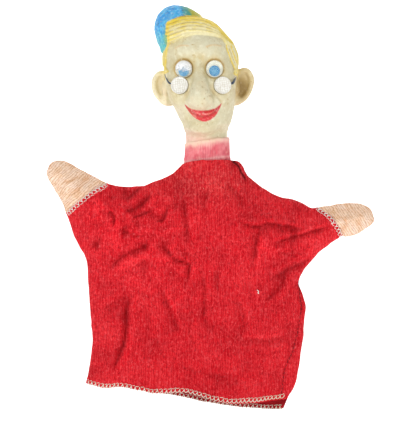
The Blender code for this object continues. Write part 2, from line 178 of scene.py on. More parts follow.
def build_mesh(name, verts, faces, mats, uv=None, colour=None, sharp_edges=None):
    """A smooth mesh object from points in millimetres, with a uv and a colour for each point."""
    mesh = bpy.data.meshes.new(name)
    mesh.from_pydata((np.asarray(verts) * MM).tolist(), [], faces.tolist() if isinstance(faces, np.ndarray) else faces)
    for mat in mats if isinstance(mats, (list, tuple)) else [mats]:
        mesh.materials.append(mat)
    if uv is not None:
        loops = np.empty(len(mesh.loops), dtype=np.int32)
        mesh.loops.foreach_get("vertex_index", loops)
        layer = mesh.uv_layers.new(name="UVMap")
        layer.data.foreach_set("uv", np.asarray(uv, dtype=np.float32)[loops].ravel())
    if colour is not None:
        set_colour(mesh, colour)
    mesh.shade_smooth()
    if sharp_edges is not None:
        mesh.set_sharp_from_angle(angle=math.radians(sharp_edges))
    mesh.update()
    made = bpy.data.objects.new(name, mesh)
    bpy.context.scene.collection.objects.link(made)
    return made




def turned(name, profile, mat, centre, axis="Z", segments=96, warp=None, sharp=40):
    """A closed turned piece from (radius, height) points; warp may move its points."""
    verts, rings = [], []
    for r, h in profile:
        count = 1 if r == 0 else segments
        rings.append((len(verts), count))
        for k in range(count):
            a = 2 * math.pi * k / segments
            verts.append((r * math.cos(a), r * math.sin(a), h))
    faces = []
    pairs = list(zip(rings, rings[1:]))
    if profile[0][0] != 0:
        pairs.append((rings[-1], rings[0]))
    for (low, nl), (high, nh) in pairs:
        for k in range(segments):
            n = (k + 1) % segments
            quad = [low + k % nl, low + n % nl, high + n % nh, high + k % nh]
            faces.append(list(dict.fromkeys(quad)))
    v = np.array(verts)
    if warp is not None:
        v = warp(v)
    if axis == "-Y":
        v = np.stack([v[:, 0], -v[:, 2], v[:, 1]], axis=1)
    made = build_mesh(name, v + np.array(centre), faces, mat, sharp_edges=sharp)
    bm = bmesh.new()
    bm.from_mesh(made.data)
    bmesh.ops.recalc_face_normals(bm, faces=bm.faces)
    bm.to_mesh(made.data)
    bm.free()
    return made


def tube_mesh(route, radius, sides=6):
    """Points and faces of a tube along a route; radius is one number or one for each point."""
    p = np.asarray(route, dtype=float)
    radius = np.broadcast_to(np.asarray(radius, dtype=float), (len(p),))
    t = np.gradient(p, axis=0)
    t /= np.linalg.norm(t, axis=1)[:, None] + 1e-12
    n = np.empty_like(p)
    up = np.array((0.31, 0.87, 0.38))
    if abs(t[0] @ up) >= 0.9:
        up = np.array((1.0, 0, 0))
    last = up - t[0] * (up @ t[0])
    for i in range(len(p)):
        last = last - t[i] * (last @ t[i])
        last /= np.linalg.norm(last) + 1e-12
        n[i] = last
    b = np.cross(t, n)
    angle = np.arange(sides) * 2 * math.pi / sides
    ring = (np.cos(angle)[None, :, None] * n[:, None] + np.sin(angle)[None, :, None] * b[:, None])
    verts = (p[:, None] + ring * radius[:, None, None]).reshape(-1, 3)
    verts = np.concatenate([verts, p[:1], p[-1:]])
    faces = []
    last_ring, start, end = (len(p) - 1) * sides, len(p) * sides, len(p) * sides + 1
    for k in range(sides):
        m = (k + 1) % sides
        faces += [[i + k, i + m, i + sides + m, i + sides + k] for i in range(0, last_ring, sides)]
        faces += [[m, k, start], [last_ring + k, last_ring + m, end]]
    return verts, faces


def settle(piece, body, node=None):
    """Says what a piece moves with and the CAD node that it stands for."""
    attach(piece, body)
    if node:
        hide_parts(node)


def tubes(name, routes, radius, mat, sides=6):
    """Several tubes as one piece; radius is one number or one entry for each tube."""
    verts, faces, base = [], [], 0
    for route, size in zip(routes, radius if isinstance(radius, list) else [radius] * len(routes)):
        v, f = tube_mesh(route, size, sides)
        verts.append(v)
        faces += [[i + base for i in face] for face in f]
        base += len(v)
    return build_mesh(name, np.concatenate(verts), faces, mat, sharp_edges=60)


# ---------------------------------------------------------------- materials

def linear(rgb):
    c = np.asarray(rgb, dtype=float) / 255
    return np.where(c <= 0.04045, c / 12.92, ((c + 0.055) / 1.055) ** 2.4)


class Paint:
    """Short forms for a material's nodes."""

    def __init__(self, name):
        self.mat = bpy.data.materials.new(name)
        self.mat.use_nodes = True
        self.tree = self.mat.node_tree
        self.shader = self.tree.nodes["Principled BSDF"]

    def node(self, kind, **props):
        made = self.tree.nodes.new(kind)
        for key, value in props.items():
            setattr(made, key, value)
        return made

    def put(self, source, target):
        self.tree.links.new(source, target)

    def give(self, value, target):
        """Feeds an input from another node, or sets it to an sRGB colour or a number."""
        if hasattr(value, "links"):
            self.put(value, target)
        else:
            target.default_value = (*linear(value), 1) if isinstance(value, tuple) else value

    def fed(self, kind, source, target, values, **props):
        """The outputs of a new node with one input fed from another node and others set."""
        made = self.node(kind, **props)
        for key, value in values.items():
            made.inputs[key].default_value = value
        self.put(source, made.inputs[target])
        return made.outputs

    def place(self, kind="Object"):
        return self.node("ShaderNodeTexCoord").outputs[kind]

    def scaled(self, source, scale, turn=(0, 0, 0)):
        return self.fed("ShaderNodeMapping", source, "Vector", {"Scale": scale, "Rotation": turn})["Vector"]

    def noise(self, source, scale, detail=3, rough=0.5, distortion=0.0):
        values = {"Scale": scale, "Detail": detail, "Roughness": rough, "Distortion": distortion}
        return self.fed("ShaderNodeTexNoise", source, "Vector", values)["Fac"]

    def wave(self, source, scale, distortion=1.0, detail=2, direction="X"):
        values = {"Scale": scale, "Distortion": distortion, "Detail": detail, "Detail Scale": 1.5}
        return self.fed("ShaderNodeTexWave", source, "Vector", values, bands_direction=direction)["Fac"]

    def cells(self, source, scale):
        return self.fed("ShaderNodeTexVoronoi", source, "Vector", {"Scale": scale})["Distance"]

    def split(self, source):
        return self.fed("ShaderNodeSeparateXYZ", source, 0, {})

    def levels(self, fac, low, high, out_low=0.0, out_high=1.0):
        values = {"From Min": low, "From Max": high, "To Min": out_low, "To Max": out_high}
        return self.fed("ShaderNodeMapRange", fac, "Value", values)["Result"]

    def colours(self, fac, low, high, *rgbs, middle=0.5):
        """A run of two or three sRGB colours, from the first at low to the last at high."""
        made = self.node("ShaderNodeValToRGB")
        elements = made.color_ramp.elements
        while len(elements) < len(rgbs):
            elements.new(0.5)
        for element, at, rgb in zip(elements, (0, 1) if len(rgbs) == 2 else (0, middle, 1), rgbs):
            element.position = at
            element.color = (*linear(rgb), 1)
        self.put(self.levels(fac, low, high), made.inputs["Fac"])
        return made.outputs["Color"]

    def blend(self, a, b, fac, mode="MIX"):
        made = self.node("ShaderNodeMix", data_type="RGBA", blend_type=mode)
        for value, index in ((a, 6), (b, 7), (fac, 0)):
            self.give(value, made.inputs[index])
        return made.outputs[2]

    def tints(self, body, *rows):
        """Lays colours over the body in turn: colour, factor, where it starts, where it is full, its strength."""
        for rgb, fac, low, high, most in rows:
            body = self.blend(body, rgb, self.levels(fac, low, high, 0.0, most))
        return body

    def sum(self, a, b, share):
        """The first value with a share of the second added."""
        made = self.node("ShaderNodeMath", operation="MULTIPLY_ADD")
        for value, index in ((b, 0), (share, 1), (a, 2)):
            self.give(value, made.inputs[index])
        return made.outputs[0]

    def attribute(self):
        made = self.node("ShaderNodeAttribute", attribute_name="Col")
        return made.outputs["Color"], made.outputs["Alpha"]

    def bump(self, height, distance, strength=1.0):
        values = {"Strength": strength, "Distance": distance * MM}
        outputs = self.fed("ShaderNodeBump", height, "Height", values)
        self.put(outputs["Normal"], self.shader.inputs["Normal"])

    def finish(self, colour, roughness, **values):
        self.give(colour, self.shader.inputs["Base Color"])
        self.give(roughness, self.shader.inputs["Roughness"])
        for key, value in values.items():
            self.shader.inputs[key.replace("_", " ")].default_value = value
        return self.mat


def red_flannel():
    """Red crepe flannel: fine upright wales, a pebbly crepe, faded lights and a little lint."""
    m = Paint("red_flannel_cloth")
    at = m.place("UV")
    wales = m.wave(m.scaled(at, (1, 0.22, 1)), 1.9, 11.0, 5)
    crepe = m.noise(m.scaled(at, (7.6, 5.0, 1)), 1.0, 5, 0.8, 0.7)
    threads = m.noise(m.scaled(at, (26, 8, 1)), 1.1, 3, 0.6)
    worn = m.noise(m.scaled(at, (1.6, 1, 1)), 1.9, 4, 0.65)
    lint = m.cells(at, 1.15)
    # The mesh's colour brings painted shade in the folds and a painted highlight on their ridges.
    folds, _ = m.attribute()
    body = m.tints(m.colours(m.noise(at, 0.42, 4, 0.6), 0.32, 0.68, (204, 15, 29), (231, 23, 37), (246, 42, 51)),
                   ((251, 110, 114), crepe, 0.53, 0.69, 0.8), ((140, 2, 14), crepe, 0.49, 0.33, 0.9),
                   ((250, 82, 90), wales, 0.55, 1.0, 0.28), ((178, 8, 24), wales, 0.4, 0.05, 0.22),
                   ((160, 14, 26), threads, 0.46, 0.28, 0.6),
                   ((232, 72, 80), worn, 0.54, 0.72, 0.55), ((176, 16, 30), worn, 0.44, 0.28, 0.5),
                   ((244, 160, 158), lint, 0.034, 0.018, 0.75))
    m.bump(m.sum(m.sum(crepe, wales, 0.25), threads, 0.45), 0.85)
    return m.finish(m.blend(body, folds, 1.0, "MULTIPLY"), 0.92, Sheen_Weight=0.1, Sheen_Roughness=0.5,
                    Sheen_Tint=(*linear((240, 90, 96)), 1), Specular_IOR_Level=0.12)


def red_lining():
    """The flannel's plainer inner side."""
    m = Paint("red_flannel_inside")
    crepe = m.noise(m.scaled(m.place("UV"), (12, 8, 1)), 1.6, 4, 0.6)
    m.bump(crepe, 0.3, 0.8)
    return m.finish(m.colours(crepe, 0.3, 0.7, (150, 16, 26), (196, 40, 48)), 0.95, Specular_IOR_Level=0.1)


def peach_flannel():
    """Peach felt-like flannel with fine lines along the hand and soft painted brown shade in the creases."""
    m = Paint("peach_flannel_cloth")
    at = m.place("UV")
    lines = m.wave(m.scaled(at, (1, 0.5, 1), (0, 0, 0.2)), 2.2, 6.5, 5)
    fuzz = m.noise(m.scaled(at, (9, 6, 1)), 1.2, 4, 0.65)
    cloud = m.noise(m.scaled(at, (1.5, 0.9, 1)), 1.2, 4, 0.6)
    # The mesh's colour brings painted brown shade in the creases.
    folds, _ = m.attribute()
    body = m.tints(m.colours(cloud, 0.32, 0.68, (236, 192, 154), (251, 219, 193), (253, 228, 211)),
                   ((196, 144, 98), lines, 0.42, 0.05, 0.62), ((253, 234, 218), fuzz, 0.53, 0.7, 0.6),
                   ((194, 140, 96), fuzz, 0.47, 0.31, 0.6))
    m.bump(m.sum(fuzz, lines, 0.7), 0.35)
    return m.finish(m.blend(body, folds, 1.0, "MULTIPLY"), 0.9, Sheen_Weight=0.06, Sheen_Roughness=0.5,
                    Specular_IOR_Level=0.12)


def thread(name, light, shade, yellow=None):
    """Twisted cotton thread; a yellow stains it towards the left side of the puppet."""
    m = Paint(name)
    at = m.place()
    ply = m.noise(at, 1900, 2, 0.5)
    body = m.tints(light, (shade, ply, 0.4, 0.66, 0.75))
    if yellow:
        dirt = m.noise(at, 130, 3, 0.55)
        body = m.tints(body, (yellow, m.sum(m.split(at)["X"], dirt, 0.06), 0.075, 0.1, 0.5))
    m.bump(ply, 0.1, 0.7)
    return m.finish(body, 0.72, Specular_IOR_Level=0.25)


def head_rubber():
    """Painted hollow rubber: sprayed colours, with painted shade and a painted highlight among them, come with the
    mesh, and nodes add grain, specks and gloss.
    """
    m = Paint("painted_rubber_head")
    col, rough = m.attribute()
    at = m.place()
    cloud, grain, fine = m.noise(at, 70, 4, 0.6), m.noise(at, 620, 4, 0.6), m.noise(at, 1500, 2, 0.5)
    specks, mottle = m.cells(at, 330), m.noise(at, 400, 4, 0.65)
    body = m.tints(col, ((210, 190, 134), cloud, 0.54, 0.76, 0.25), ((196, 172, 116), mottle, 0.53, 0.72, 0.3),
                   ((255, 252, 232), mottle, 0.47, 0.3, 0.3))
    body = m.blend(body, (255, 250, 226), m.levels(grain, 0.55, 0.75, 0.0, 0.2), "SOFT_LIGHT")
    body = m.tints(body, ((150, 118, 70), grain, 0.4, 0.24, 0.2), ((96, 80, 56), specks, 0.05, 0.03, 0.4))
    m.bump(m.sum(m.sum(grain, fine, 0.4), mottle, 0.7), 0.2, 0.8)
    return m.finish(body, m.levels(rough, 0.0, 1.0), Specular_IOR_Level=0.36, Coat_Weight=0.0)


def neck_rubber():
    """Pink spray fading to cream at the top of the moulded collar."""
    m = Paint("painted_rubber_collar")
    col, _ = m.attribute()
    at = m.place()
    grain = m.noise(m.scaled(at, (1, 1, 0.35)), 900, 3, 0.6)
    body = m.tints(col, ((252, 224, 196), m.noise(at, 160, 3, 0.6), 0.58, 0.74, 0.3),
                   ((214, 96, 104), grain, 0.42, 0.24, 0.4))
    m.bump(grain, 0.1, 0.6)
    return m.finish(body, 0.56, Specular_IOR_Level=0.36)


def cup_plastic():
    m = Paint("white_plastic_cup")
    at = m.place()
    cloud = m.noise(at, 240, 3, 0.55)
    body = m.colours(cloud, 0.3, 0.72, (214, 212, 186), (238, 237, 219), (246, 245, 232))
    m.bump(m.noise(at, 1500, 2, 0.5), 0.04, 0.5)
    return m.finish(body, m.levels(cloud, 0.3, 0.7, 0.34, 0.5), Specular_IOR_Level=0.4)


def lens_plastic():
    """White plastic with a woven print and small pits."""
    m = Paint("lens_white_plastic")
    at = m.place()
    pits = m.cells(at, 1100)
    warp, weft = [m.wave(m.scaled(at, (100, 100, 100), (0, 0.12, 0)), 2.3, 5.5, 4, way) for way in "XZ"]
    body = m.tints(m.colours(m.noise(at, 420, 4, 0.6), 0.34, 0.7, (226, 223, 212), (240, 239, 232), (247, 247, 243)),
                   ((196, 188, 168), warp, 0.3, 0.03, 0.45), ((200, 192, 172), weft, 0.3, 0.03, 0.4),
                   ((164, 152, 122), pits, 0.14, 0.05, 0.6))
    m.bump(m.sum(m.sum(warp, weft, 1.0), pits, 0.3), 0.1, 0.6)
    return m.finish(body, 0.62, Specular_IOR_Level=0.3)


def pupil_blue():
    m = Paint("blue_disc_print")
    at = m.place()
    cloud = m.noise(at, 330, 3, 0.55)
    body = m.tints(m.colours(cloud, 0.3, 0.7, (48, 126, 178), (74, 148, 194), (112, 176, 208)),
                   ((160, 208, 228), m.cells(at, 1500), 0.3, 0.1, 0.3))
    m.bump(cloud, 0.03, 0.4)
    return m.finish(body, 0.42, Specular_IOR_Level=0.4)


def clear_plastic(name, glare_from, glare_to):
    """Clear blown plastic; between two heights in metres its top is painted opaque white, a painted reflection of the
    lamp.
    """
    m = Paint(name)
    at = m.place()
    scuffs = m.noise(m.scaled(at, (1, 1, 0.8)), 560, 5, 0.75)
    uneven = 0.012
    height = m.sum(m.split(at)["Z"], scuffs, uneven)
    # Painted reflection: the dome turns opaque white above the lower height.
    painted_glare = m.levels(height, glare_from + uneven / 2, glare_to + uneven / 2, 0.03, 0.92)
    m.put(painted_glare, m.shader.inputs["Alpha"])
    m.bump(scuffs, 0.012, 0.35)
    return m.finish((252, 253, 252), m.levels(scuffs, 0.4, 0.75, 0.06, 0.2), Specular_IOR_Level=0.5)


def dark_wire():
    m = Paint("dark_wire_paint")
    cloud = m.noise(m.place(), 520, 3, 0.6)
    body = m.colours(cloud, 0.36, 0.7, (40, 50, 68), (66, 78, 98), (126, 134, 144), middle=0.6)
    m.bump(cloud, 0.06, 0.6)
    return m.finish(body, 0.4, Metallic=0.25)


def studio_paper():
    m = Paint("studio_paper")
    body = m.colours(m.noise(m.place(), 60, 3, 0.5), 0.3, 0.7, (250, 250, 250), (253, 253, 253))
    # The sheet behind the object is there from its front only, so that the back can be looked at too.
    out = next(n for n in m.tree.nodes if n.type == "OUTPUT_MATERIAL")
    clear, either = m.node("ShaderNodeBsdfTransparent"), m.node("ShaderNodeMixShader")
    facing = m.node("ShaderNodeNewGeometry").outputs["Backfacing"]
    for index, source in enumerate((facing, m.shader.outputs[0], clear.outputs[0])):
        m.put(source, either.inputs[index])
    m.put(either.outputs[0], out.inputs["Surface"])
    return m.finish(body, 0.9, Specular_IOR_Level=0.1, Emission_Color=(1, 1, 1, 1), Emission_Strength=0.44)


# ---------------------------------------------------------------- the head's solid, as a field of distances

EYE_X = {"right": -5.3, "left": 14.6}
EYE_Z = 212.2
LENS_X = {"right": -8.1, "left": 19.9}
LENS_Z = 201.6
NECK_X = 10.4

# Middle, radii and lean of the cap's ball and of the forelock's.
CAP_BALL = ((-7.6, 8.6, 237.6), (19.4, 21, 20.6), 18)
LOCK_BALL = ((1.5, -2.4, 229.6), (25, 22.4, 18.2))

# Height, middle in X, half width, front and back of the skull.
SKULL = [(170.2, 6.6, 0, -15, -15), (172, 7.4, 9.6, -20.5, 2), (174, 8.0, 13.4, -22.6, 7), (176.5, 9.4, 15.4, -23.8, 10),
         (183, 8.6, 18.1, -25.2, 15), (189, 7.7, 20.0, -25.6, 18), (196, 6.8, 21.5, -25.4, 22),
         (205, 5.9, 22.8, -24.8, 25), (214, 5.6, 24.0, -24.4, 27.5), (222, 5.5, 24.0, -24.6, 28.5),
         (230, 4.6, 21.6, -24.2, 28), (236, 2.6, 18.3, -21.6, 25.5), (241, 1.0, 15.0, -17.5, 21),
         (245.4, 0, 8.0, -9, 13), (247, 0, 0, 2, 2)]
EAR = {
    "right": [(-14, 209), (-17.5, 211.4), (-20.5, 212), (-22.9, 211.2), (-25.6, 208), (-26.6, 204), (-26.2, 199.6),
              (-24.4, 195.3), (-20.8, 191.2), (-16.4, 189.4), (-12, 189.8), (-8, 194), (-8, 204)],
    "left": [(27, 211), (30.5, 213), (34.1, 214.2), (37.7, 212.8), (40.1, 209), (40.7, 204.7), (39.5, 199.6),
             (37, 194.7), (33.4, 191.2), (28.6, 189.8), (24, 192), (22, 198), (23, 206)],
}
CAP = [(-18.4, 223.4), (-20.6, 226), (-22.6, 230), (-23.9, 234), (-24.9, 238), (-25.1, 241.5), (-24.5, 245.7),
       (-22.6, 249.9), (-18.4, 253.8), (-14, 255.2), (-10, 255.3), (-3.3, 253.9), (3.9, 250.2), (8.9, 246),
       (14, 240), (10, 228), (-6, 220)]
FORELOCK = [(-15.8, 229.6), (-16.4, 234), (-16.2, 239), (-15.7, 242.5), (-11, 244.9), (-5.9, 246.5), (2.3, 246.7),
            (8.1, 245.8), (16, 241.3), (20.8, 236.1), (26, 229.4), (24, 228.2), (21.5, 230.2), (19.5, 232.9),
            (12.4, 234.3), (3.8, 235.0), (-3.4, 234.0), (-9.2, 231.9), (-13.4, 229.6)]
# The bare face inside the hairline, seen from the front.
FACE = [(-13.6, 229.4), (-9.2, 232.1), (-3.4, 234.3), (3.8, 235.3), (12.4, 234.7), (19.3, 233.2), (21.3, 230.4),
        (22.2, 226), (23.6, 221.8), (25.4, 217), (27.4, 212.4), (28.2, 208), (44, 206), (44, 150), (-40, 150),
        (-40, 206), (-16.4, 209.8), (-17.0, 214), (-16.8, 222.8), (-15, 227.6)]
MOUTH = [(-4.9, 189.3), (-2.5, 187.4), (0.3, 186.0), (4.4, 185.2), (8.4, 185.1), (12.5, 185.8), (15.8, 187.0),
         (19.1, 189.8), (18.6, 188.0), (17.4, 185.4), (15.4, 182.0), (12.6, 179.5), (9.4, 178.3), (6.0, 178.4),
         (1.9, 180.4), (-1.3, 183.5), (-3.4, 186.4)]


def join(a, b, k):
    h = np.clip(0.5 + 0.5 * (b - a) / k, 0, 1)
    return mix(b, a, h) - k * h * (1 - h)


def cut(a, b, k):
    return -join(-a, b, k)


def ellipsoid(x, y, z, centre, radii, turn=0.0):
    c, s = math.cos(math.radians(turn)), math.sin(math.radians(turn))
    dx, dy, dz = x - centre[0], y - centre[1], z - centre[2]
    u, w = c * dx + s * dz, -s * dx + c * dz
    k0 = np.sqrt((u / radii[0]) ** 2 + (dy / radii[1]) ** 2 + (w / radii[2]) ** 2)
    k1 = np.sqrt((u / radii[0] ** 2) ** 2 + (dy / radii[1] ** 2) ** 2 + (w / radii[2] ** 2) ** 2)
    return k0 * (k0 - 1) / np.maximum(k1, 1e-6)


def rounded_cone(x, y, z, a, b, ra, rb):
    a, b = np.array(a, float), np.array(b, float)
    u = b - a
    t = np.clip(((x - a[0]) * u[0] + (y - a[1]) * u[1] + (z - a[2]) * u[2]) / (u @ u), 0, 1)
    return np.sqrt((x - a[0] - t * u[0]) ** 2 + (y - a[1] - t * u[1]) ** 2 + (z - a[2] - t * u[2]) ** 2) - mix(ra, rb, t)


def hair_share(x, y, z, sd_face):
    """1 on hair, 0 on bare skin, from the front hairline and a line behind the temples and ears."""
    front = ramp(sd_face, -0.25, 0.45)
    line = np.interp(z, [184, 190, 200, 207, 210, 213, 262], [30, 15, 10, 4, -5, -10, -10])
    behind = ramp(y - line, -0.5, 0.5)
    ear = np.maximum(ramp(x, 29.6, 30.6), ramp(-x, 17.8, 18.8)) * ramp(z, 216, 214) * ramp(y, 14, 11)
    return np.maximum(front, behind) * (1 - ear)


def cap_distance(x, y, z, sd_cap):
    """The floppy cap: a leaning ball held within its outline, with a swelling above the hair."""
    cap = cut(ellipsoid(x, y, z, *CAP_BALL), -sd_cap, 5.0)
    return cap - 0.9 * bell(z - 225 - 0.2 * (x + 18), 2.2)


def head_field(step):
    """The head's distances on a grid, and the grid's first corner."""
    xs = np.arange(-28.5, 43.0, step)
    ys = np.arange(-37.5, 32.5, step)
    zs = np.arange(151.0, 258.5, step)
    x, y, z = np.meshgrid(xs, ys, zs, indexing="ij", sparse=True)
    px, pz = np.meshgrid(xs, zs, indexing="ij")
    flat = lambda outline: outline_distance(px, pz, curve_through(outline, 5, True))[:, None, :]

    table = np.array(SKULL, dtype=float)
    blur = np.exp(-np.linspace(-2.2, 2.2, 9) ** 2)
    blur /= blur.sum()
    column = lambda v: np.convolve(np.pad(v, 4, "edge"), blur, "valid")
    mid = column(np.interp(zs, table[:, 0], table[:, 1]))
    wide = np.interp(zs, table[:, 0], table[:, 2] ** 2)
    deep = np.interp(zs, table[:, 0], ((table[:, 4] - table[:, 3]) / 2) ** 2)
    yc = column(np.interp(zs, table[:, 0], (table[:, 4] + table[:, 3]) / 2))
    f = ((x - mid) ** 2 / np.maximum(column(wide), 1.5) + (y - yc) ** 2 / np.maximum(column(deep), 1.5)) - 1
    gx, gy, gz = np.gradient(f, step)
    level = np.hypot(gx, gy)
    gz = np.clip(gz, -1.2 * level - 0.35, 1.2 * level + 0.35)
    skull = f / np.sqrt(level * level + gz * gz + 1e-9)
    skull = np.clip(skull, -12, 12)
    outside = np.maximum(np.maximum(170.0 - z, z - 247.2), -50)
    skull = np.maximum(skull, outside)

    # Fullness of the face: beside the eyes and under the lenses, the jaw, the chin, the brow.
    for cx, s in ((-5.2, -1), (16.8, 1)):
        skull = join(skull, ellipsoid(x, y, z, (cx, -12.6, 204.5), (11.6, 11.0, 15.0)), 5)
        skull = join(skull, ellipsoid(x, y, z, (cx - 0.6 * s, -14.5, 194.5), (8.6, 8.6, 8.0)), 5)
    skull = join(skull, ellipsoid(x, y, z, (6.9, -18.6, 176.4), (8.4, 6.2, 5.6)), 4)
    skull = join(skull, ellipsoid(x, y, z, (4.6, -14.5, 224.5), (15, 10.8, 7.5)), 5)

    # Hair stands proud of the skin.
    sd_face = flat(FACE)
    hair = hair_share(x, y, z, sd_face)
    skull = skull - 0.85 * hair * ramp(z, 184, 190)

    # Sockets, with the seat of each eye's cup, and the lens seats.
    for side in SIDES:
        ex = EYE_X[side]
        skull = cut(skull, ellipsoid(x, y, z, (ex, -26.4, EYE_Z + 0.3), (7.6, 5.2, 7.9)), 1.6)
        hole = np.maximum(np.hypot(x - ex, z - EYE_Z) - 5.9, y + 21.6)
        skull = cut(skull, hole, 0.5)
        seat = np.maximum(np.hypot(x - LENS_X[side], z - LENS_Z) - 5.9, y + 22.5)
        skull = cut(skull, seat, 0.6)

    # Nose: a thin bridge that swells into a long drooping bulb, with small wings.
    nose = rounded_cone(x, y, z, (4.7, -21.4, 217.5), (5.2, -25.6, 203.0), 2.2, 4.4)
    nose = join(nose, ellipsoid(x, y, z, (5.4, -26.6, 194.6), (7.0, 8.4, 8.6)), 4.5)
    for cx in (0.6, 10.4):
        nose = join(nose, ellipsoid(x, y, z, (cx, -25.2, 191.6), (3.2, 4.8, 3.6)), 2.0)
    nose = join(nose, ellipsoid(x, y, z, (5.6, -27.4, 189.8), (3.6, 6.0, 3.8)), 2.5)
    skull = join(skull, nose, 2.6)

    # Lips: a crescent that stands out.
    skull = skull - np.where(y < -14, 0.9, 0.0) * ramp(-flat(MOUTH), -0.4, 2.2)

    # Ears: a rounded rim round a thin plate, cupped forwards.
    for side, s in (("right", -1), ("left", 1)):
        sd = flat(EAR[side])
        edge = -17.0 if side == "right" else 28.5
        lean = 5.4 - 0.24 * np.clip(s * (x - edge), 0, 14)
        rim = np.hypot(sd + 1.75, y - lean) - 1.75
        plate = np.maximum(np.abs(y - lean - 1.9) - 1.1, sd + 1.4)
        lobe = ellipsoid(x, y, z, (edge - 1.0 * s, 4.8, 193.4), (4.4, 2.8, 4.0))
        tragus = ellipsoid(x, y, z, (edge + 0.4 * s, 2.2, 201.0), (2.6, 3.6, 4.8))
        ear = join(join(rim, plate, 1.6), join(lobe, tragus, 2.5), 2.0)
        skull = join(skull, ear, 2.2)

    # Neck under the jaw.
    neck = np.hypot(x - mix(10.0, 9.4, ramp(z, 153, 172)), y) - 13.55
    skull = join(skull, np.maximum(neck, z - 186), 4.0)

    # Cap behind the hair, soft and floppy to the right, and the combed-over forelock in front of it.
    cap = cap_distance(x, y, z, flat(CAP))
    lock = cut(ellipsoid(x, y, z, *LOCK_BALL), -(flat(FORELOCK) + 0.2), 2.2)
    lock = np.maximum(lock, y - 4)
    lock = cut(lock, ellipsoid(x, y, z, (3, 6, 226), (16, 22, 14)), 1.0)
    solid = join(skull, cap, 0.5)
    solid = join(solid, lock, 1.1)

    # The finger's bore.
    solid = cut(solid, rounded_cone(x, y, z, (NECK_X, 0, 150), (NECK_X, 0, 178), 10, 8), 0.8)
    solid = np.maximum(solid, 153.0 - z)
    return solid.astype(np.float32), (xs[0], ys[0], zs[0])


def surface_net(field, origin, step):
    """A quad mesh of the zero level: one point in each cell that the surface crosses."""
    inside = field < 0
    corners = [(i, j, k) for i in (0, 1) for j in (0, 1) for k in (0, 1)]
    shape = tuple(n - 1 for n in field.shape)
    part = lambda a, c: a[c[0]:c[0] + shape[0], c[1]:c[1] + shape[1], c[2]:c[2] + shape[2]]
    count = sum(part(inside, c).astype(np.int8) for c in corners)
    cells = np.argwhere((count > 0) & (count < 8))
    index = np.full(shape, -1, dtype=np.int64)
    index[tuple(cells.T)] = np.arange(len(cells))
    total, hits = np.zeros((len(cells), 3)), np.zeros(len(cells))
    for a in corners:
        for axis in range(3):
            if a[axis]:
                continue
            b = list(a)
            b[axis] = 1
            fa = field[tuple((cells + a).T)]
            fb = field[tuple((cells + b).T)]
            crosses = (fa < 0) != (fb < 0)
            t = np.where(crosses, fa / np.where(crosses, fa - fb, 1), 0)
            point = np.tile(np.array(a, float), (len(cells), 1))
            point[:, axis] = t
            total += point * crosses[:, None]
            hits += crosses
    verts = cells + total / hits[:, None]
    faces = []
    for axis in range(3):
        u, v = [k for k in range(3) if k != axis]
        low = [slice(1, -1)] * 3
        high = [slice(1, -1)] * 3
        low[axis], high[axis] = slice(0, -1), slice(1, None)
        a, b = inside[tuple(low)], inside[tuple(high)]
        spots = np.argwhere(a != b)
        out = a[tuple(spots.T)]
        offset = np.array([1, 1, 1])
        offset[axis] = 0
        base = spots + offset
        ring = []
        for du, dv in ((0, 0), (1, 0), (1, 1), (0, 1)):
            cell = base.copy()
            cell[:, u] -= du
            cell[:, v] -= dv
            ring.append(index[tuple(cell.T)])
        quad = np.stack(ring, axis=1)
        flip = out if axis != 1 else ~out
        quad[flip] = quad[flip][:, ::-1]
        faces.append(quad)
    quads = np.concatenate(faces)
    return verts * step + np.array(origin), quads


def sample(field, origin, step, p):
    q = (p - origin) / step
    cell = np.clip(np.floor(q).astype(int), 0, np.array(field.shape) - 2)
    f = q - cell
    value = 0
    for i in (0, 1):
        for j in (0, 1):
            for k in (0, 1):
                share = (np.where(i, f[:, 0], 1 - f[:, 0]) * np.where(j, f[:, 1], 1 - f[:, 1])
                         * np.where(k, f[:, 2], 1 - f[:, 2]))
                value = value + share * field[cell[:, 0] + i, cell[:, 1] + j, cell[:, 2] + k]
    return value


def slope(field, origin, step, p):
    d = 0.6 * step
    g = np.stack([sample(field, origin, step, p + np.eye(3)[k] * d) - sample(field, origin, step, p - np.eye(3)[k] * d)
                  for k in range(3)], axis=1) / (2 * d)
    size = np.linalg.norm(g, axis=1)
    return g / np.maximum(size, 1e-6)[:, None], size


def relaxed(verts, quads, field, origin, step, turns=6):
    """Evens out the mesh along the surface and pulls it back on to the surface."""
    edges = np.unique(np.sort(np.concatenate([quads[:, [0, 1]], quads[:, [1, 2]], quads[:, [2, 3]], quads[:, [3, 0]]]),
                              axis=1), axis=0)
    degree = np.bincount(edges.ravel(), minlength=len(verts))[:, None]
    for _ in range(turns):
        total = np.zeros_like(verts)
        for k in range(3):
            total[:, k] = (np.bincount(edges[:, 0], verts[edges[:, 1], k], len(verts))
                           + np.bincount(edges[:, 1], verts[edges[:, 0], k], len(verts)))
        normal, size = slope(field, origin, step, verts)
        move = total / np.maximum(degree, 1) - verts
        move -= normal * (move * normal).sum(1)[:, None] * 0.85
        verts = verts + 0.5 * move
        normal, size = slope(field, origin, step, verts)
        back = sample(field, origin, step, verts) / np.maximum(size, 0.35)
        verts = verts - normal * np.clip(back, -0.4, 0.4)[:, None] * 0.8
    return verts


# ---------------------------------------------------------------- the head's detail and paint

def comb_lines(x, z):
    """Comb marks of the forelock: they fan out from where they meet at the right end of the parting."""
    share = ramp(x, -16, 27)
    top = np.interp(x, [-16, -6, 2.3, 8.1, 16, 21, 27], [243.6, 246.4, 247, 246, 241.4, 236.5, 229])
    low = np.interp(x, [-16, -9.2, -3.4, 3.8, 12.4, 19.5, 27], [229.6, 231.6, 233.8, 234.8, 234.2, 232.4, 228.2])
    across = (z - low) / np.maximum(top - low, 1.0)
    return across, share


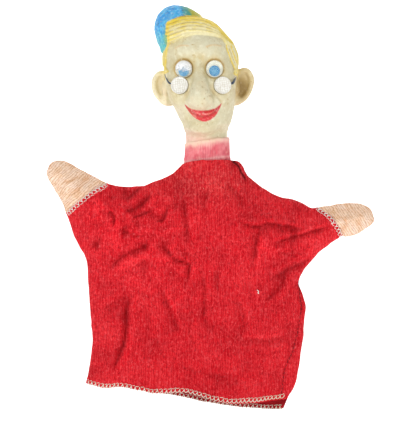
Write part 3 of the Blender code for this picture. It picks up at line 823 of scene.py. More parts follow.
def paint_head(p, normal):
    """Displacement and sprayed colour of the head, with painted shade and a painted highlight, from place alone.
    Returns moved points and RGBA.
    """
    x, y, z = p.T
    sd_face = outline_distance(x, z, curve_through(FACE, 5, True))
    sd_cap = outline_distance(x, z, curve_through(CAP, 5, True))
    sd_lock = outline_distance(x, z, curve_through(FORELOCK, 5, True))
    sd_mouth = outline_distance(x, z, curve_through(MOUTH, 5, True))
    n_big, n_mid, n_fine = noise(p, 9, 1, 3), noise(p, 3.2, 2, 3), noise(p, 1.25, 3, 2)
    front = ramp(-normal[:, 1], -0.05, 0.35)
    facing = y < 0

    # What each point is.
    lock = (sd_lock < 0.9) & (y < 3.5) & (y < -4 - 0.0 * x) & (z > 228)
    lock_y = -2.4 - 22.4 * np.sqrt(np.clip(1 - ((x - 1.5) / 25) ** 2 - ((z - 229.6) / 18.2) ** 2, 0, 1))
    lock &= y < lock_y + 6.5
    cap_f = ellipsoid(x, y, z, (-7.6, 8.6, 237.6), (19.4, 21, 20.6), 18)
    cap_f = -join(-cap_f, -sd_cap, 5.0) - 0.9 * np.exp(-((z - 225 - 0.2 * (x + 18)) / 2.2) ** 2)
    cap = (cap_f < 0.55) & ~lock
    hair = hair_share(x, y, z, sd_face) * ramp(z, 186, 190) * (~cap) * (~lock)
    on_nose = ramp(ellipsoid(x, y, z, (5.4, -27, 195), (8.6, 9.5, 11)), 0.6, -0.8)

    # Relief.
    move = 0.05 * n_mid + 0.03 * n_fine
    across, share = comb_lines(x, z)
    teeth = np.sin(2 * math.pi * (across * 5.6 + 0.18 * np.sin(x * 0.18) + 0.12 * n_mid))
    move = move + np.where(lock, (0.44 - 0.16 * share) * teeth * ramp(across, -0.05, 0.1), 0)
    round_ = np.arctan2(x - 5.5, -y) * 25
    strands = np.sin(2 * math.pi * ((z - 0.55 * round_ * np.sign(x - 5.5)) / 2.6 + 0.5 * n_big))
    side_strands = np.sin(2 * math.pi * ((round_ + 0.25 * (z - 210)) / 2.6 + 0.5 * n_mid + 0.6 * n_big))
    back_hair = hair * ramp(y, -16, -6)
    move = move + 0.3 * back_hair * side_strands * (0.7 + 0.5 * n_big) + 0.16 * hair * (1 - ramp(y, -16, -6)) * strands
    pebbles = noise(p, 1.15, 7, 2)
    move = move + np.where(cap, 0.22 * pebbles + 0.16 * noise(p, 2.4, 8, 1) + 0.25 * noise(p, 7, 9, 2), 0)
    skin = (~cap) & (~lock) & (hair < 0.5)
    skin_f = skin.astype(float)
    for brow in (((-10.4, 226.0), (-7, 227.9), (-2, 227.6)), ((9.4, 226.8), (13.6, 228.0), (18.4, 227.4))):
        d = line_distance(x, z, curve_through(brow))
        move = move + skin_f * facing * 0.4 * bell(d, 1.1)
    for fold, depth in ((((-2.4, 198.0), (-4.6, 193.4), (-5.6, 190.2)), 0.5),
                        (((12.9, 198.2), (16.4, 194.4), (19.2, 190.8)), 0.5),
                        (((2.2, 216.6), (1.9, 220.4)), 0.45), (((6.4, 216.6), (6.8, 220.4)), 0.4),
                        (((-10.5, 206.4), (-5.4, 204.9), (-0.6, 206.6)), 0.25),
                        (((9.8, 206.4), (14.8, 204.9), (19.4, 206.4)), 0.25),
                        (((1.6, 174.2), (6.8, 172.9), (12.6, 174.2)), 0.22),
                        (((-0.8, 178.6), (7.8, 175.8), (16.2, 179.2)), 0.4)):
        d = line_distance(x, z, curve_through(fold))
        move = move - skin_f * facing * depth * bell(d, 0.95)
    mouth = (sd_mouth < 0) & facing
    groove = line_distance(x, z, curve_through([(-4.2, 188.4), (0.6, 183.6), (7.4, 181.4), (13.6, 183.4), (18.2, 188.6)]))
    move = move + np.where(facing & (y < -14), -0.42 * bell(groove, 0.5) * ramp(-sd_mouth, 0.0, 0.8), 0)
    move = move - np.where(facing & (y < -14), 0.3 * bell(sd_mouth - 0.35, 0.4), 0)

    # Sprayed colours, in sRGB, mixed by soft and uneven masks, with painted shade and a painted highlight among them.
    colour = np.tile(np.array((217.0, 210, 178)), (len(p), 1))
    lay = lambda rgb, share_: colour.__iadd__((np.array(rgb, float) - colour) * np.clip(share_, 0, 1)[:, None])
    stain = noise(p, 5.5, 12, 3)
    lay((214, 200, 152), 0.5 * ramp(n_big, 0.05, 0.55))
    lay((230, 226, 198), 0.5 * ramp(-n_big, 0.05, 0.6))
    lay((202, 186, 138), 0.4 * ramp(stain, 0.15, 0.6))
    lay((190, 168, 112), 0.5 * np.exp(-(((x - 4.4) / 4.0) ** 2 + ((z - 219.5) / 3.0) ** 2)) * facing)
    lay((206, 188, 140), 0.4 * np.exp(-(((x - 4.6) / 7.5) ** 2 + ((z - 214) / 6.0) ** 2)) * facing)
    lay((222, 222, 196), 0.5 * ramp(stain, -0.1, -0.6))
    lay((232, 216, 180), 0.5 * on_nose * ramp(n_mid, -0.2, 0.6))
    # Painted shade towards the sides of the face.
    lay((206, 194, 154), 0.7 * ramp(np.abs(x - 5.6), 12, 21) * ramp(z, 168, 180))
    lay((206, 196, 158), 0.6 * ramp(z, 186, 174))
    # Round each socket a brown ring and a darker wall: dirt in the recess with painted shade, darkest at the top; round
    # each lens seat a painted shadow.
    for side in SIDES:
        ex = EYE_X[side]
        d = np.hypot(x - ex, (z - EYE_Z - 0.2) * 0.97)
        lay((205, 184, 128), 0.6 * facing * bell(d - 6.0, 1.8))
        dark = ramp(z - EYE_Z, -3, 5)
        lay((172, 132, 66), facing * (0.4 + 0.45 * dark) * bell(d - 6.05, 0.55))
        lay((196, 164, 104), 0.55 * facing * ramp(d, 6.2, 5.6))
        d = np.hypot(x - LENS_X[side], z - LENS_Z)
        lay((198, 178, 130), 0.3 * facing * bell(d - 6.1, 0.75))
    # Brows painted on; the darker lines along the folds beside the mouth, the sides of the nose, the creases of the
    # bridge and under the lower lip are painted shade; brown lines along the hairline.
    for line, width, rgb, power in (
            (((-10.6, 225.6), (-7, 227.3), (-2, 227.0)), 0.55, (214, 160, 92), 0.5),
            (((9.4, 226.4), (13.6, 227.6), (18.4, 227.0)), 0.55, (214, 160, 92), 0.5),
            (((-2.4, 199.0), (-4.6, 193.4), (-5.4, 190.6)), 1.0, (196, 172, 118), 0.5),
            (((12.9, 199.0), (16.0, 194.4), (18.9, 191.0)), 1.0, (190, 164, 110), 0.5),
            (((1.2, 207), (-0.6, 203), (-2.2, 199)), 1.0, (204, 184, 134), 0.4),
            (((8.6, 208), (10.6, 203), (13.4, 198), (12.6, 191.5)), 1.5, (208, 188, 138), 0.25),
            (((1.8, 213), (1.6, 221)), 1.3, (206, 184, 132), 0.45), (((6.6, 213), (7.4, 221)), 1.3, (206, 184, 132), 0.4),
            (((-0.8, 178.4), (7.8, 175.6), (16.2, 179)), 1.1, (208, 190, 142), 0.35),
            (((-13.8, 229.2), (-9.2, 231.7), (-3.4, 233.9), (3.8, 234.9), (12.4, 234.3), (19.4, 232.7), (21.6, 229.6)),
             0.55, (176, 146, 76), 0.4),
            (((22.4, 226), (24, 221.4), (25.8, 216.6), (27.8, 212), (28.3, 209)), 0.5, (184, 150, 70), 0.55)):
        d = line_distance(x, z, curve_through(line))
        lay(rgb, power * facing * bell(d, width) * (0.75 + 0.4 * n_mid))
    # Ears: brown in the hollow, more on the left ear.
    for cx, cz, s, power in ((-19.4, 200.2, -1, 0.08), (32.6, 200.6, 1, 0.5)):
        d = np.hypot((x - cx) / 0.72, z - cz)
        ear = ramp(s * (x - (-16.2 if s < 0 else 27.6)), 0, 1.0) * ramp(z, 187, 190) * ramp(z, 216, 213)
        lay((224, 206, 162) if s > 0 else (247, 237, 204), 0.9 * ear)
        lay((166, 134, 70), power * ear * ramp(d, 9.2, 4.4) * (y < 8))
        lay((142, 108, 50), 0.6 * power * ear * ramp(d, 5.4, 1.5) * (y < 8))
        lay((238, 206, 84), 0.6 * ear * ramp(z, 208.5, 211.5) * ramp(s * x, 32.5 if s > 0 else 22.5, 29 if s > 0 else 18))
    # Hair: pale cream in the grooves, strong yellow on ridges and edges.
    ridge = ramp(teeth, -0.1, 0.85)
    strength = ridge[:, None]
    pale, strong = np.array((234, 222, 170.0)), np.array((236, 208, 66.0))
    crest = line_distance(x, z, curve_through(FORELOCK[:13]))
    edge = np.clip(bell(crest, 1.3) + 0.85 * ramp(across, 0.6, 0.95) + 0.3 * n_mid, 0, 1)
    thin = (0.25 + 0.5 * ramp(across, 0.2, 0.7) + 0.3 * ramp(-x, 4, 13))[:, None]
    lock_colour = mix(pale, strong, np.clip(thin * strength * ramp(n_mid, -0.75, 0.35)[:, None] + edge[:, None], 0, 1))
    lock_colour = mix(lock_colour, np.array((176, 142, 60.0)), (0.7 * ramp(-teeth, 0.45, 0.95) * ramp(across, 0.15, 0.55) * ramp(n_mid, -0.6, 0.3))[:, None])
    lock_colour = mix(lock_colour, np.array((234, 226, 186.0)), (0.7 * ramp(across, 0.22, 0.0) * ramp(x, -15, -8))[:, None])
    colour[lock] = lock_colour[lock]
    hair_colour = mix(np.array((224, 210, 146.0)), np.array((234, 208, 86.0)),
                      np.clip(0.5 * ramp(side_strands, -0.2, 0.8) + 0.9 * bell(sd_face, 0.9) * (y < -4)
                              + 0.45 * ramp(n_mid, 0, 0.6), 0, 1)[:, None])
    hair_colour = mix(hair_colour, np.array((186, 154, 78.0)), (0.5 * ramp(-side_strands, 0.4, 1.0))[:, None])
    # Beside the forehead the strands follow the hairline: pale, with yellow lines.
    lines = np.cos(2 * math.pi * (sd_face - 0.4 + 0.35 * n_mid) / 3.1)
    beside_face = mix(np.array((228, 218, 172.0)), np.array((234, 206, 78.0)), ramp(lines, 0.35, 0.95)[:, None])
    beside_face = mix(beside_face, np.array((182, 146, 66.0)), (0.5 * ramp(-lines, 0.7, 1.0) * ramp(n_mid, -0.4, 0.3))[:, None])
    hair_colour = mix(hair_colour, beside_face, (ramp(y, -4, -9) * ramp(z, 233, 229) * ramp(z, 211, 216) * (x > 5.5))[:, None])
    colour += (hair_colour - colour) * hair[:, None]
    # Cap: blue, going green towards the lower tip and the right end, yellow where the hair's paint runs over.
    blue = mix(np.array((44, 152, 222.0)), np.array((94, 190, 232.0)), ramp(pebbles + 0.6 * noise(p, 2.4, 8, 1), -0.5, 0.8)[:, None])
    blue = mix(blue, np.array((30, 122, 204.0)), (0.6 * ramp(-pebbles, 0.25, 0.7))[:, None])
    teal = ramp(z, 241, 225)[:, None]
    cap_colour = mix(blue, blue * 0.5 + np.array((62, 104, 78.0)), 0.95 * teal)
    for rgb, start, end in (((64, 150, 142), -7.5, -3.0), ((176, 172, 58), -2.6, 0.6), ((222, 204, 96), 2.6, 6.0)):
        # The paint that runs over from the hair follows the cap's right side round to the back.
        over = ramp(x + 0.35 * (z - 250) * ramp(x, 4, 0) - 0.55 * np.maximum(y - 2, 0) + 1.5 * n_mid, start, end)
        cap_colour = mix(cap_colour, np.array(rgb, float), over[:, None])
    near = np.exp(-(np.maximum(sd_lock + 0.8 * n_mid, 0) / 1.5) ** 2) * (x < -14) * ramp(z, 246, 236) * facing
    cap_colour = mix(cap_colour, np.array((150, 180, 96.0)), (0.8 * near)[:, None])
    specks = noise(p, 1.0, 21, 1)
    cap_colour = mix(cap_colour, np.array((96, 78, 60.0)), (0.75 * ramp(specks, 0.72, 0.84))[:, None])
    colour[cap] = cap_colour[cap]
    # Mouth: red, with a painted highlight in streaks along the upper lip and painted shade in the groove between the
    # lips.
    red = np.tile(np.array((214.0, 38, 50)), (len(p), 1))
    upper_lip_highlight = bell(groove - 1.3, 0.6) * (z > np.interp(x, [-5, 0.6, 7.4, 13.6, 19], [189, 183.6, 181.4, 183.4, 190]))
    streak = noise(np.stack([x, z * 3.0, y], axis=1), 2.2, 15, 2)
    red = mix(red, np.array((252, 176, 164.0)), (0.85 * upper_lip_highlight * ramp(streak, -0.1, 0.3) * ramp(np.abs(x - 7.4), 8.5, 4))[:, None])
    # Painted shade in the groove between the lips.
    red = mix(red, np.array((176, 30, 44.0)), (0.75 * bell(groove, 0.5))[:, None])
    red = mix(red, np.array((202, 44, 56.0)), (0.5 * ramp(-sd_mouth, 1.0, 0.0))[:, None])
    share_red = ramp(sd_mouth + 0.12 * n_fine, 0.22, -0.22) * (facing & (y < -12))
    colour += (red - colour) * share_red[:, None]
    # Grime: specks on the nose and cheeks, and pink overspray at the foot of the neck.
    grime = ramp(noise(p, 0.95, 31, 1), 0.66, 0.8) * np.exp(-(((x - 11.4) / 4.5) ** 2 + ((z - 194) / 6) ** 2))
    lay((146, 112, 62), 0.85 * grime * facing * skin)
    lay((176, 146, 92), 0.6 * ramp(noise(p, 1.1, 33, 1), 0.72, 0.84) * skin)
    lay((240, 196, 180), 0.8 * ramp(z + 0.22 * (x - 10) + 1.0 * n_mid, 172, 165))
    gloss = 0.5 + 0.08 * n_mid + 0.14 * cap + 0.06 * hair - 0.2 * share_red
    return p + normal * move[:, None], np.concatenate([linear(np.clip(colour, 0, 255)), gloss[:, None]], axis=1)


def make_head(mat):
    step = 0.52
    field, origin = head_field(step)
    verts, quads = surface_net(field, origin, step)
    verts = relaxed(verts, quads, field, origin, step)
    normal, _ = slope(field, origin, step, verts)
    moved, rgba = paint_head(verts, normal)
    head = build_mesh("painted_head", moved, quads, mat, colour=rgba)
    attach(head, "head")
    return head


def make_turtleneck(mat):
    """The ribbed roll of the moulded collar: fine upright ribs, a bead above the cloth and a slanting top edge."""
    outer = []
    for z in np.linspace(146.8, 166.4, 34):
        r = np.interp(z, [146.8, 150, 154, 154.6, 160, 165, 166.4], [14.7, 14.9, 14.95, 14.75, 14.6, 14.4, 14.15])
        outer.append((float(r), float(z)))
    profile = ([(10.0, 139.5), (14.2, 139.5), (14.9, 140.4), (14.9, 142.8), (14.3, 143.6), (13.4, 144.4), (13.4, 145.6),
                (14.2, 146.3)] + outer + [(13.8, 166.9), (13.2, 166.7), (12.6, 165.8), (12.0, 163), (10.0, 160)])
    ribs, segments = 84, 84 * 7

    def warp(v):
        r = np.hypot(v[:, 0], v[:, 1])
        angle = np.arctan2(v[:, 1], v[:, 0])
        wobble = noise(np.stack([14 * np.cos(angle), 14 * np.sin(angle), v[:, 2] * 0.35], axis=1), 3.0, 5, 2)
        depth = 0.3 * ramp(v[:, 2], 147, 148.4) * ramp(v[:, 2], 166.6, 164.6) * (r > 13.6)
        bead = 0.32 * bell(v[:, 2] - 154.4 - 0.3 * wobble, 0.8) * (r > 13.6)
        lip = 0.3 * bell(v[:, 2] - 165.6, 0.8) * (r > 13.6)
        new = r + depth * np.cos(ribs * angle + 1.6 * wobble) * (0.7 + 0.6 * wobble) + bead + lip
        slant = 0.13 * v[:, 0] * ramp(v[:, 2], 154, 166)
        move = noise(np.stack([20 * np.cos(angle), 20 * np.sin(angle), 0 * angle], axis=1), 7, 6, 2)
        z = v[:, 2] + slant + 0.5 * move * ramp(v[:, 2], 158, 166)
        return np.stack([v[:, 0] * new / r, v[:, 1] * new / r, z], axis=1)

    made = turned("ribbed_collar", profile, mat, (NECK_X - 0.5, 0, 0), segments=segments, warp=warp, sharp=180)
    p = np.empty(len(made.data.vertices) * 3, dtype=np.float32)
    made.data.vertices.foreach_get("co", p)
    p = p.reshape(-1, 3) / MM
    angle = np.arctan2(p[:, 1], p[:, 0] - NECK_X)
    level = p[:, 2] - 0.13 * (p[:, 0] - NECK_X)
    n = noise(p, 4.0, 11, 3)
    r = np.hypot(p[:, 0] - NECK_X + 0.5, p[:, 1])
    colour = np.tile(np.array((230.0, 108, 120)), (len(p), 1))
    lay = lambda rgb, share: colour.__iadd__((np.array(rgb, float) - colour) * np.clip(share, 0, 1)[:, None])
    lay((246, 160, 162), 0.6 * ramp(n, -0.2, 0.5))
    lay((243, 212, 190), ramp(level + 1.6 * n, 160.8, 165.4))
    lay((247, 186, 180), 0.6 * ramp(p[:, 0], 15, 24) * ramp(level, 156, 160))
    lay((248, 196, 190), 0.7 * bell(level - 154.3, 0.8))
    # Painted shade in the grooves between the ribs and a painted highlight on their crests.
    grooves = ramp(np.cos(ribs * angle), -0.3, -1.0)
    lay((196, 66, 86), 0.85 * grooves * ramp(level, 166, 161) * ramp(noise(p, 3, 14, 2), -0.5, 0.3))
    lay((250, 190, 186), 0.4 * ramp(-grooves, -0.4, 0.0) * ramp(noise(p, 2.4, 13, 2), -0.1, 0.5))
    lay((204, 168, 120), 0.6 * ramp(level, 166.2, 167.2) * ramp(r, 14.0, 13.2))
    layer = made.data.color_attributes.new("Col", "FLOAT_COLOR", "POINT")
    rgba = np.ones((len(p), 4), dtype=np.float32)
    rgba[:, :3] = linear(colour)
    layer.data.foreach_set("color", rgba.ravel())
    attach(made, "head")
    return made


# ---------------------------------------------------------------- eyes and spectacles

def make_eyes(cup_mat, disc_mat, dome_mats):
    for side, dome_mat in zip(SIDES, dome_mats):
        for name, node, body, slot, profile, mat, drop, segments in (
                ("eye_seat", "eye_cup", "head", "white_plastic", EYE_CUP, cup_mat, 0, 72),
                ("rolling_pupil", "pupil", f"{side}_pupil_disc", "blue_disc", PUPIL_DISC, disc_mat, 1.3, 64),
                ("eye_window", "eye_dome", "head", "clear_dome", EYE_DOME, dome_mat, 0, 72)):
            piece = turned(f"{side}_{name}", profile, mat, (EYE_X[side], 0, EYE_Z - drop), "-Y", segments)
            settle(piece, body, f"{side}_{node}")


# Each temple wire: distance out from the lens's middle, Y, Z and radius along it.
TEMPLES = {
    "right": [(5.0, -23.5, 202.6, 0.45), (6.4, -22.6, 203.0, 0.62), (7.5, -20.4, 204.2, 0.5), (8.3, -16.6, 205.8, 0.42),
              (9.0, -12.0, 207.4, 0.38), (9.5, -7.4, 208.6, 0.34), (9.6, -2.4, 209.2, 0.3)],
    "left": [(5.0, -23.5, 202.6, 0.5), (6.3, -22.6, 203.0, 0.9), (7.3, -20.4, 204.2, 0.76), (8.0, -16.6, 205.8, 0.58),
             (8.4, -12.0, 207.2, 0.5), (8.7, -7.4, 208.4, 0.44), (8.7, -2.4, 209.0, 0.36)],
}


def make_spectacles(lens_mat, wire_mat):
    rings = [(r, 23.78 + 0.06 * math.cos(5 * r)) for r in (4.4, 3.9, 3.4, 2.9, 2.4, 1.9, 1.4, 0.9)]
    profile = [(0, 22.6), (5.3, 22.6), (5.56, 22.75), (5.62, 23.1), (5.62, 23.7), (5.5, 24.0), (5.25, 24.15),
               (5.0, 24.08), (4.8, 23.85)] + rings + [(0, 23.8)]
    for side, s in (("right", -1), ("left", 1)):
        def warp(v):
            r = np.hypot(v[:, 0], v[:, 1])
            face = (v[:, 2] > 23.6) & (r < 4.9)
            weave = 0.02 * (np.cos(2 * math.pi * (v[:, 0] + 0.2 * v[:, 1]) / 1.25)
                            + np.cos(2 * math.pi * v[:, 1] / 1.4))
            edge = 0.06 * noise(v, 2.2, 40 + s, 2)
            scale = 1 + np.where(r > 4.5, edge / 5, 0)
            return xyz(v[:, 0] * scale, v[:, 1] * scale, v[:, 2] + np.where(face, weave, 0.3 * edge))

        lens = turned(f"{side}_white_lens", profile, lens_mat, (LENS_X[side], 0, LENS_Z), "-Y", 96, warp)
        settle(lens, "head", f"{side}_spectacle_lens")
        stops = TEMPLES[side]
        path = curve_through([(LENS_X[side] + s * out, y, z) for out, y, z, _ in stops], 5)
        thick = np.interp(np.linspace(0, len(stops) - 1, len(path)), range(len(stops)), [r for *_, r in stops])
        wire = tubes(f"{side}_temple_wire", [path], [thick], wire_mat, 10)
        settle(wire, "head", f"{side}_spectacle_temple")
LOOSE_FOLD = [(26.8, 152.6), (30.2, 149.6), (32.2, 145.2), (34.6, 141)]


def folds_of(face):
    return FRONT_FOLDS if face == "front" else BACK_FOLDS


# ---------------------------------------------------------------- the tunic's outlines, as in the CAD

CLOTH = 1.0                         # thickness
SEAM_GAP = 0.3
CHEST_DEPTH, CUFF_DEPTH, MITT_DEPTH = 16.0, 9.5, 6.5
COLLAR_RADIUS = 16.4
HEM = {
    "front": [(-68.9, 7.8), (-56.5, 5.2), (-46, 5.6), (-34, 4.0), (-25.5, 1.8), (-14, 2.6), (-5, 2.9), (5, 0.4),
              (12.6, -2.0), (24.4, -4.2), (40, -3.6), (52, -2.4), (61.2, -1.6)],
    "back": [(-68.9, 7.6), (-56.5, 4.9), (-46, 4.6), (-34, 3.2), (-25.5, 0.8), (-14, -0.4), (-5, -2.0), (5, -4.2),
             (12.6, -5.8), (24.4, -7.9), (33, -8.5), (48, -9.2), (56.6, -9.2), (60, -8.2)],
}
SIDE_SEAM = {
    "right": [(-68.9, 7.8), (-65.2, 36), (-66.6, 56), (-67.6, 72.2), (-68.4, 86), (-72.8, 96), (-77.4, 105.3), (-82.1, 118.4)],
    "left": [(60, -7.6), (61.8, -3), (67.5, 8), (72, 35), (73.9, 59.5), (69.6, 75), (79, 89), (88, 97.5), (98.2, 104)],
}
TOP_SEAM = {
    "right": [(-6.2, 151), (-12.4, 144.6), (-20, 141), (-34, 136.6), (-45, 136.2), (-55.3, 138.5)],
    "left": [(27.2, 153.2), (30.2, 152.7), (33.0, 150.0), (34.7, 146.2), (36, 143.4), (40, 139.8), (51, 132.5), (62, 128.6), (71.5, 126.1), (76.9, 122.6), (81.4, 122.3)],
}
MITT_TOP = {"right": [(-55.3, 138.5), (-67, 144.3), (-81.3, 152.1), (-88, 153.4)],
            "left": [(81.4, 122.3), (95.6, 124.8), (107.3, 125.1), (112, 124.4)]}
MITT_LOW = {"right": [(-82.1, 118.4), (-84.5, 124.8), (-89, 132.6), (-93, 140.4)],
            "left": [(98.2, 104), (101, 103.4), (107.9, 105.3), (114.4, 109.2)]}
MITT_TIP = {"right": [(-93, 140.4), (-94.9, 144.3), (-94.5, 147.4), (-92.8, 150.5), (-90.6, 152.5), (-88, 153.4)],
            "left": [(114.4, 109.2), (118.2, 111.9), (119.2, 115.0), (118.3, 119), (115.8, 122.5), (112, 124.4)]}
FOLD = {"right": ((-72.8, 96), (-45, 136.2)), "left": ((79, 89), (62, 128.6))}
YOKE = {"right": ((-67.6, 72.2), (-20, 141)), "left": ((73.9, 59.5), (40, 139.8))}
COLLAR_LINE = ((-14, 143.8), (36, 143.4))
SEAMS = [curve_through(line, 5) for side in SIDES
         for line in (SIDE_SEAM[side], TOP_SEAM[side], MITT_TOP[side], MITT_TIP[side], MITT_LOW[side])]


def fold_normal(side):
    (ax, az), (bx, bz) = FOLD[side]
    size = math.hypot(bx - ax, bz - az)
    n = np.array((-(bz - az), bx - ax)) / size
    return n if side == "right" else -n


def out_along_arm(side, x, z):
    n = fold_normal(side)
    return (x - FOLD[side][0][0]) * n[0] + (z - FOLD[side][0][1]) * n[1]


def seam_distance(x, z):
    return np.min([line_distance(x, z, line) for line in SEAMS], axis=0)


def fullness(x, z, d):
    """Half depth inside the cloth: nothing at the seams, most over the hand, round at the neck."""
    out = np.where(x < 0, out_along_arm("right", x, z), out_along_arm("left", x, z))
    sleeve, hand = ramp(out, -34, 12), ramp(out, 12, 45)
    depth = CHEST_DEPTH + (CUFF_DEPTH - CHEST_DEPTH) * sleeve + (MITT_DEPTH - CUFF_DEPTH) * hand
    depth = depth - (2.2 * bell(z - 64, 26) + 1.0 * bell(z - 8, 14)) * (1 - sleeve)
    reach = 34 - 20 * sleeve
    body = depth * np.sin(0.5 * math.pi * np.minimum(d, reach) / reach) ** 0.9
    neck = np.sqrt(np.maximum(COLLAR_RADIUS ** 2 - (x - NECK_X) ** 2, 0)) * ramp(z, 112, 139)
    return np.maximum(body, neck)


def beside(x, z, line):
    """Signed distance from a line, more than nought on its left hand, and a share that dies out at its ends."""
    pts = curve_through(line, 6) if len(line) > 2 else list(line)
    total = sum(math.dist(a, b) for a, b in zip(pts, pts[1:]))
    best, side, along, run = np.full(np.shape(x), 1e9), np.zeros(np.shape(x)), np.zeros(np.shape(x)), 0.0
    for (ax, az), (bx, bz) in zip(pts, pts[1:]):
        ux, uz = bx - ax, bz - az
        size = math.hypot(ux, uz)
        t = ((x - ax) * ux + (z - az) * uz) / (size * size)
        tc = np.clip(t, 0, 1)
        d = np.hypot(x - ax - tc * ux, z - az - tc * uz)
        nearer = d < best
        best = np.where(nearer, d, best)
        side = np.where(nearer, np.sign(ux * (z - az) - uz * (x - ax)), side)
        along = np.where(nearer, run + tc * size, along)
        run += size
    return best * side, ramp(along, -0.01, 0.25 * total) * ramp(along, total * 1.001, 0.75 * total)


def crease(x, z, line, width, height):
    """A fold along a line: a broad ridge on its left hand and a narrower valley on its right."""
    s, ends = beside(x, z, line)
    ridge = np.exp(-((s - 0.95 * width) / width) ** 2)
    valley = np.exp(-((s + 0.4 * width) / (0.62 * width)) ** 2)
    return height * ends * (0.8 * ridge - valley)


def fold_shade(x, z, line, width, height):
    """How dark a fold is: a thin line at its bottom in a broad soft shade."""
    s, ends = beside(x, z, line)
    line_ = np.exp(-((s + 0.25 * width) / (0.35 + 0.12 * width)) ** 2)
    soft = np.exp(-((s + 0.7 * width) / (0.5 + 0.95 * width)) ** 2)
    return min(height / 1.6, 1.25) * ends * (0.6 * line_ + 0.42 * soft)


# The folds pressed and pulled into the cloth: line, width, height.
FRONT_FOLDS = [
    (((-31.5, 138), (-34.2, 134), (-40.3, 129), (-44, 126)), 3.4, 1.8),
    (((-25.5, 135), (-27.5, 129.5), (-32, 124.5), (-38, 120.6), (-46, 118)), 2.4, 1.9),
    (((-56, 121), (-51.6, 118.6), (-50, 115), (-49.7, 110)), 1.4, 1.7),
    (((-35.8, 116.4), (-34.4, 113), (-34.0, 109.6)), 1.2, 1.3),
    (((-24.6, 120.6), (-32.2, 117.9), (-40, 115.4)), 1.3, 1.2),
    (((-15.4, 125.6), (-16.4, 119), (-18.8, 114.0), (-24.6, 114.6)), 1.4, 1.5),
    (((-44.4, 109.8), (-43.0, 107.2), (-38.5, 105.4), (-31, 102.8)), 1.5, 1.4),
    (((-28.4, 103), (-30.0, 96.5), (-38.7, 93.1), (-46.8, 88.2), (-54, 80)), 3.6, 1.7),
    (((-23.4, 100.6), (-15.9, 94.9), (-9.4, 89.2), (-1.6, 86), (-1.3, 80.3), (-4.2, 70)), 1.9, 2.0),
    (((-3.7, 131), (-3.9, 121), (-2.3, 109.5), (-1.3, 98)), 2.8, 1.5),
    (((-60, 56.5), (-50, 61.5), (-40, 67)), 3.0, 1.1),
    (((-39.2, 70), (-41.6, 54), (-42.2, 40), (-46, 27.5), (-52.4, 14)), 2.5, 2.5),
    (((-56, 108), (-60, 100), (-62, 92)), 2.4, 0.9),
    (((-21.5, 75), (-15.5, 60), (-7.4, 40)), 2.4, 1.4),
    (((7.4, 80), (8.6, 66), (8.2, 48)), 1.9, 1.3),
    (((17.2, 85), (17.4, 76), (16.2, 67)), 1.7, 1.0),
    (((44.4, 110), (42.4, 98), (40.2, 86.5)), 2.8, 1.8),
    (((28, 115.5), (40, 110.8), (52, 112.4), (76, 108.4)), 1.8, 1.7),
    (((48, 97.5), (62, 103), (76, 106.5), (94, 112.2)), 1.9, 1.7),
    (((50, 75.5), (63, 83.4), (79, 89.6)), 2.4, 1.7),
    (((62, 81), (57.6, 70), (46, 60)), 2.7, 1.5),
    (((28, 38.6), (48, 37.0), (67, 40.6)), 2.6, 1.1),
    (((-8, 20), (12, 15), (34, 12)), 3.2, 0.8),
    (((22, 140), (31, 131), (34, 121)), 2.7, 1.0),
    (((28, 68), (34, 52), (33, 38)), 2.9, 0.9),
    (((12, 137), (9, 126), (12, 116)), 2.4, 0.8),
    (((-12, 134), (-9.5, 127), (-11, 119)), 1.7, 0.8),
    (((-30, 60), (-27, 46), (-31, 34)), 2.6, 0.8),
    (((54, 96), (60, 93), (68, 95)), 1.6, 0.9),
    (((2, 60), (-1, 44), (3, 30)), 2.6, 0.7),
]
BACK_FOLDS = [
    (((-58, 116), (-44, 118), (-28, 124)), 2.6, 1.4),
    (((-62, 84), (-48, 92), (-34, 96)), 3.0, 1.5),
    (((74, 108), (58, 110), (44, 118)), 2.4, 1.5),
    (((70, 84), (56, 88), (44, 98)), 2.8, 1.4),
    (((-20, 128), (-16, 108), (-20, 84)), 3.4, 1.3),
    (((32, 128), (30, 104), (36, 82)), 3.2, 1.3),
    (((4, 96), (8, 66), (2, 38)), 3.0, 1.4),
    (((-44, 62), (-42, 38), (-48, 18)), 3.0, 1.7),
    (((44, 60), (46, 38), (40, 16)), 3.0, 1.5),
    (((-24, 40), (-14, 22), (-16, 8)), 2.8, 1.1),
    (((20, 44), (24, 24), (20, 8)), 2.6, 1.0),
]
SIDE_STITCH = [(69.3, 75), (70.5, 64.5), (71.3, 57.5), (70.7, 52.3), (68.7, 41.3), (65.5, 29.6), (61.1, 18.9),
               (59.4, 10.4), (57.7, 0.6)]
MITT_FOLDS = {
    "right": [(((-62.5, 146), (-68, 141.5), (-72.6, 139.5)), 1.2, 0.7), (((-67, 140.6), (-74, 134.4), (-80.6, 129)), 1.4, 0.7),
              (((-72, 143.4), (-79, 139.4), (-86, 138.6)), 1.1, 0.6), (((-84, 131), (-88, 136), (-92, 139)), 1.1, 0.4)],
    "left": [(((90, 123), (99, 121.6), (109, 123)), 1.2, 0.5), (((100, 117), (100.6, 111), (96, 107)), 1.3, 0.6),
             (((108, 123.6), (110, 116), (107, 108.4)), 1.2, 0.5), (((86, 119), (94, 116), (98, 118)), 1.1, 0.5)],
}


def crumple(face, x, z):
    """Small sharp crinkles where the arms have bent the cloth, fewer towards the hem."""
    p = xyz(x, 0 if face == "front" else 60, z)
    where = (1.45 * blob(x, z, -38, 110, 30, 24) + 0.8 * blob(x, z, 58, 100, 26, 20)
             + 0.45 * blob(x, z, -6, 66, 30, 34) + 0.25)
    small = 1 - 3.0 * np.abs(noise(p, 13, 55, 2))
    tiny = 1 - 3.0 * np.abs(noise(p, 6.5, 56, 2))
    return where * (0.85 * np.clip(small, -0.6, 1) + 0.42 * np.clip(tiny, -0.6, 1)) - 0.2


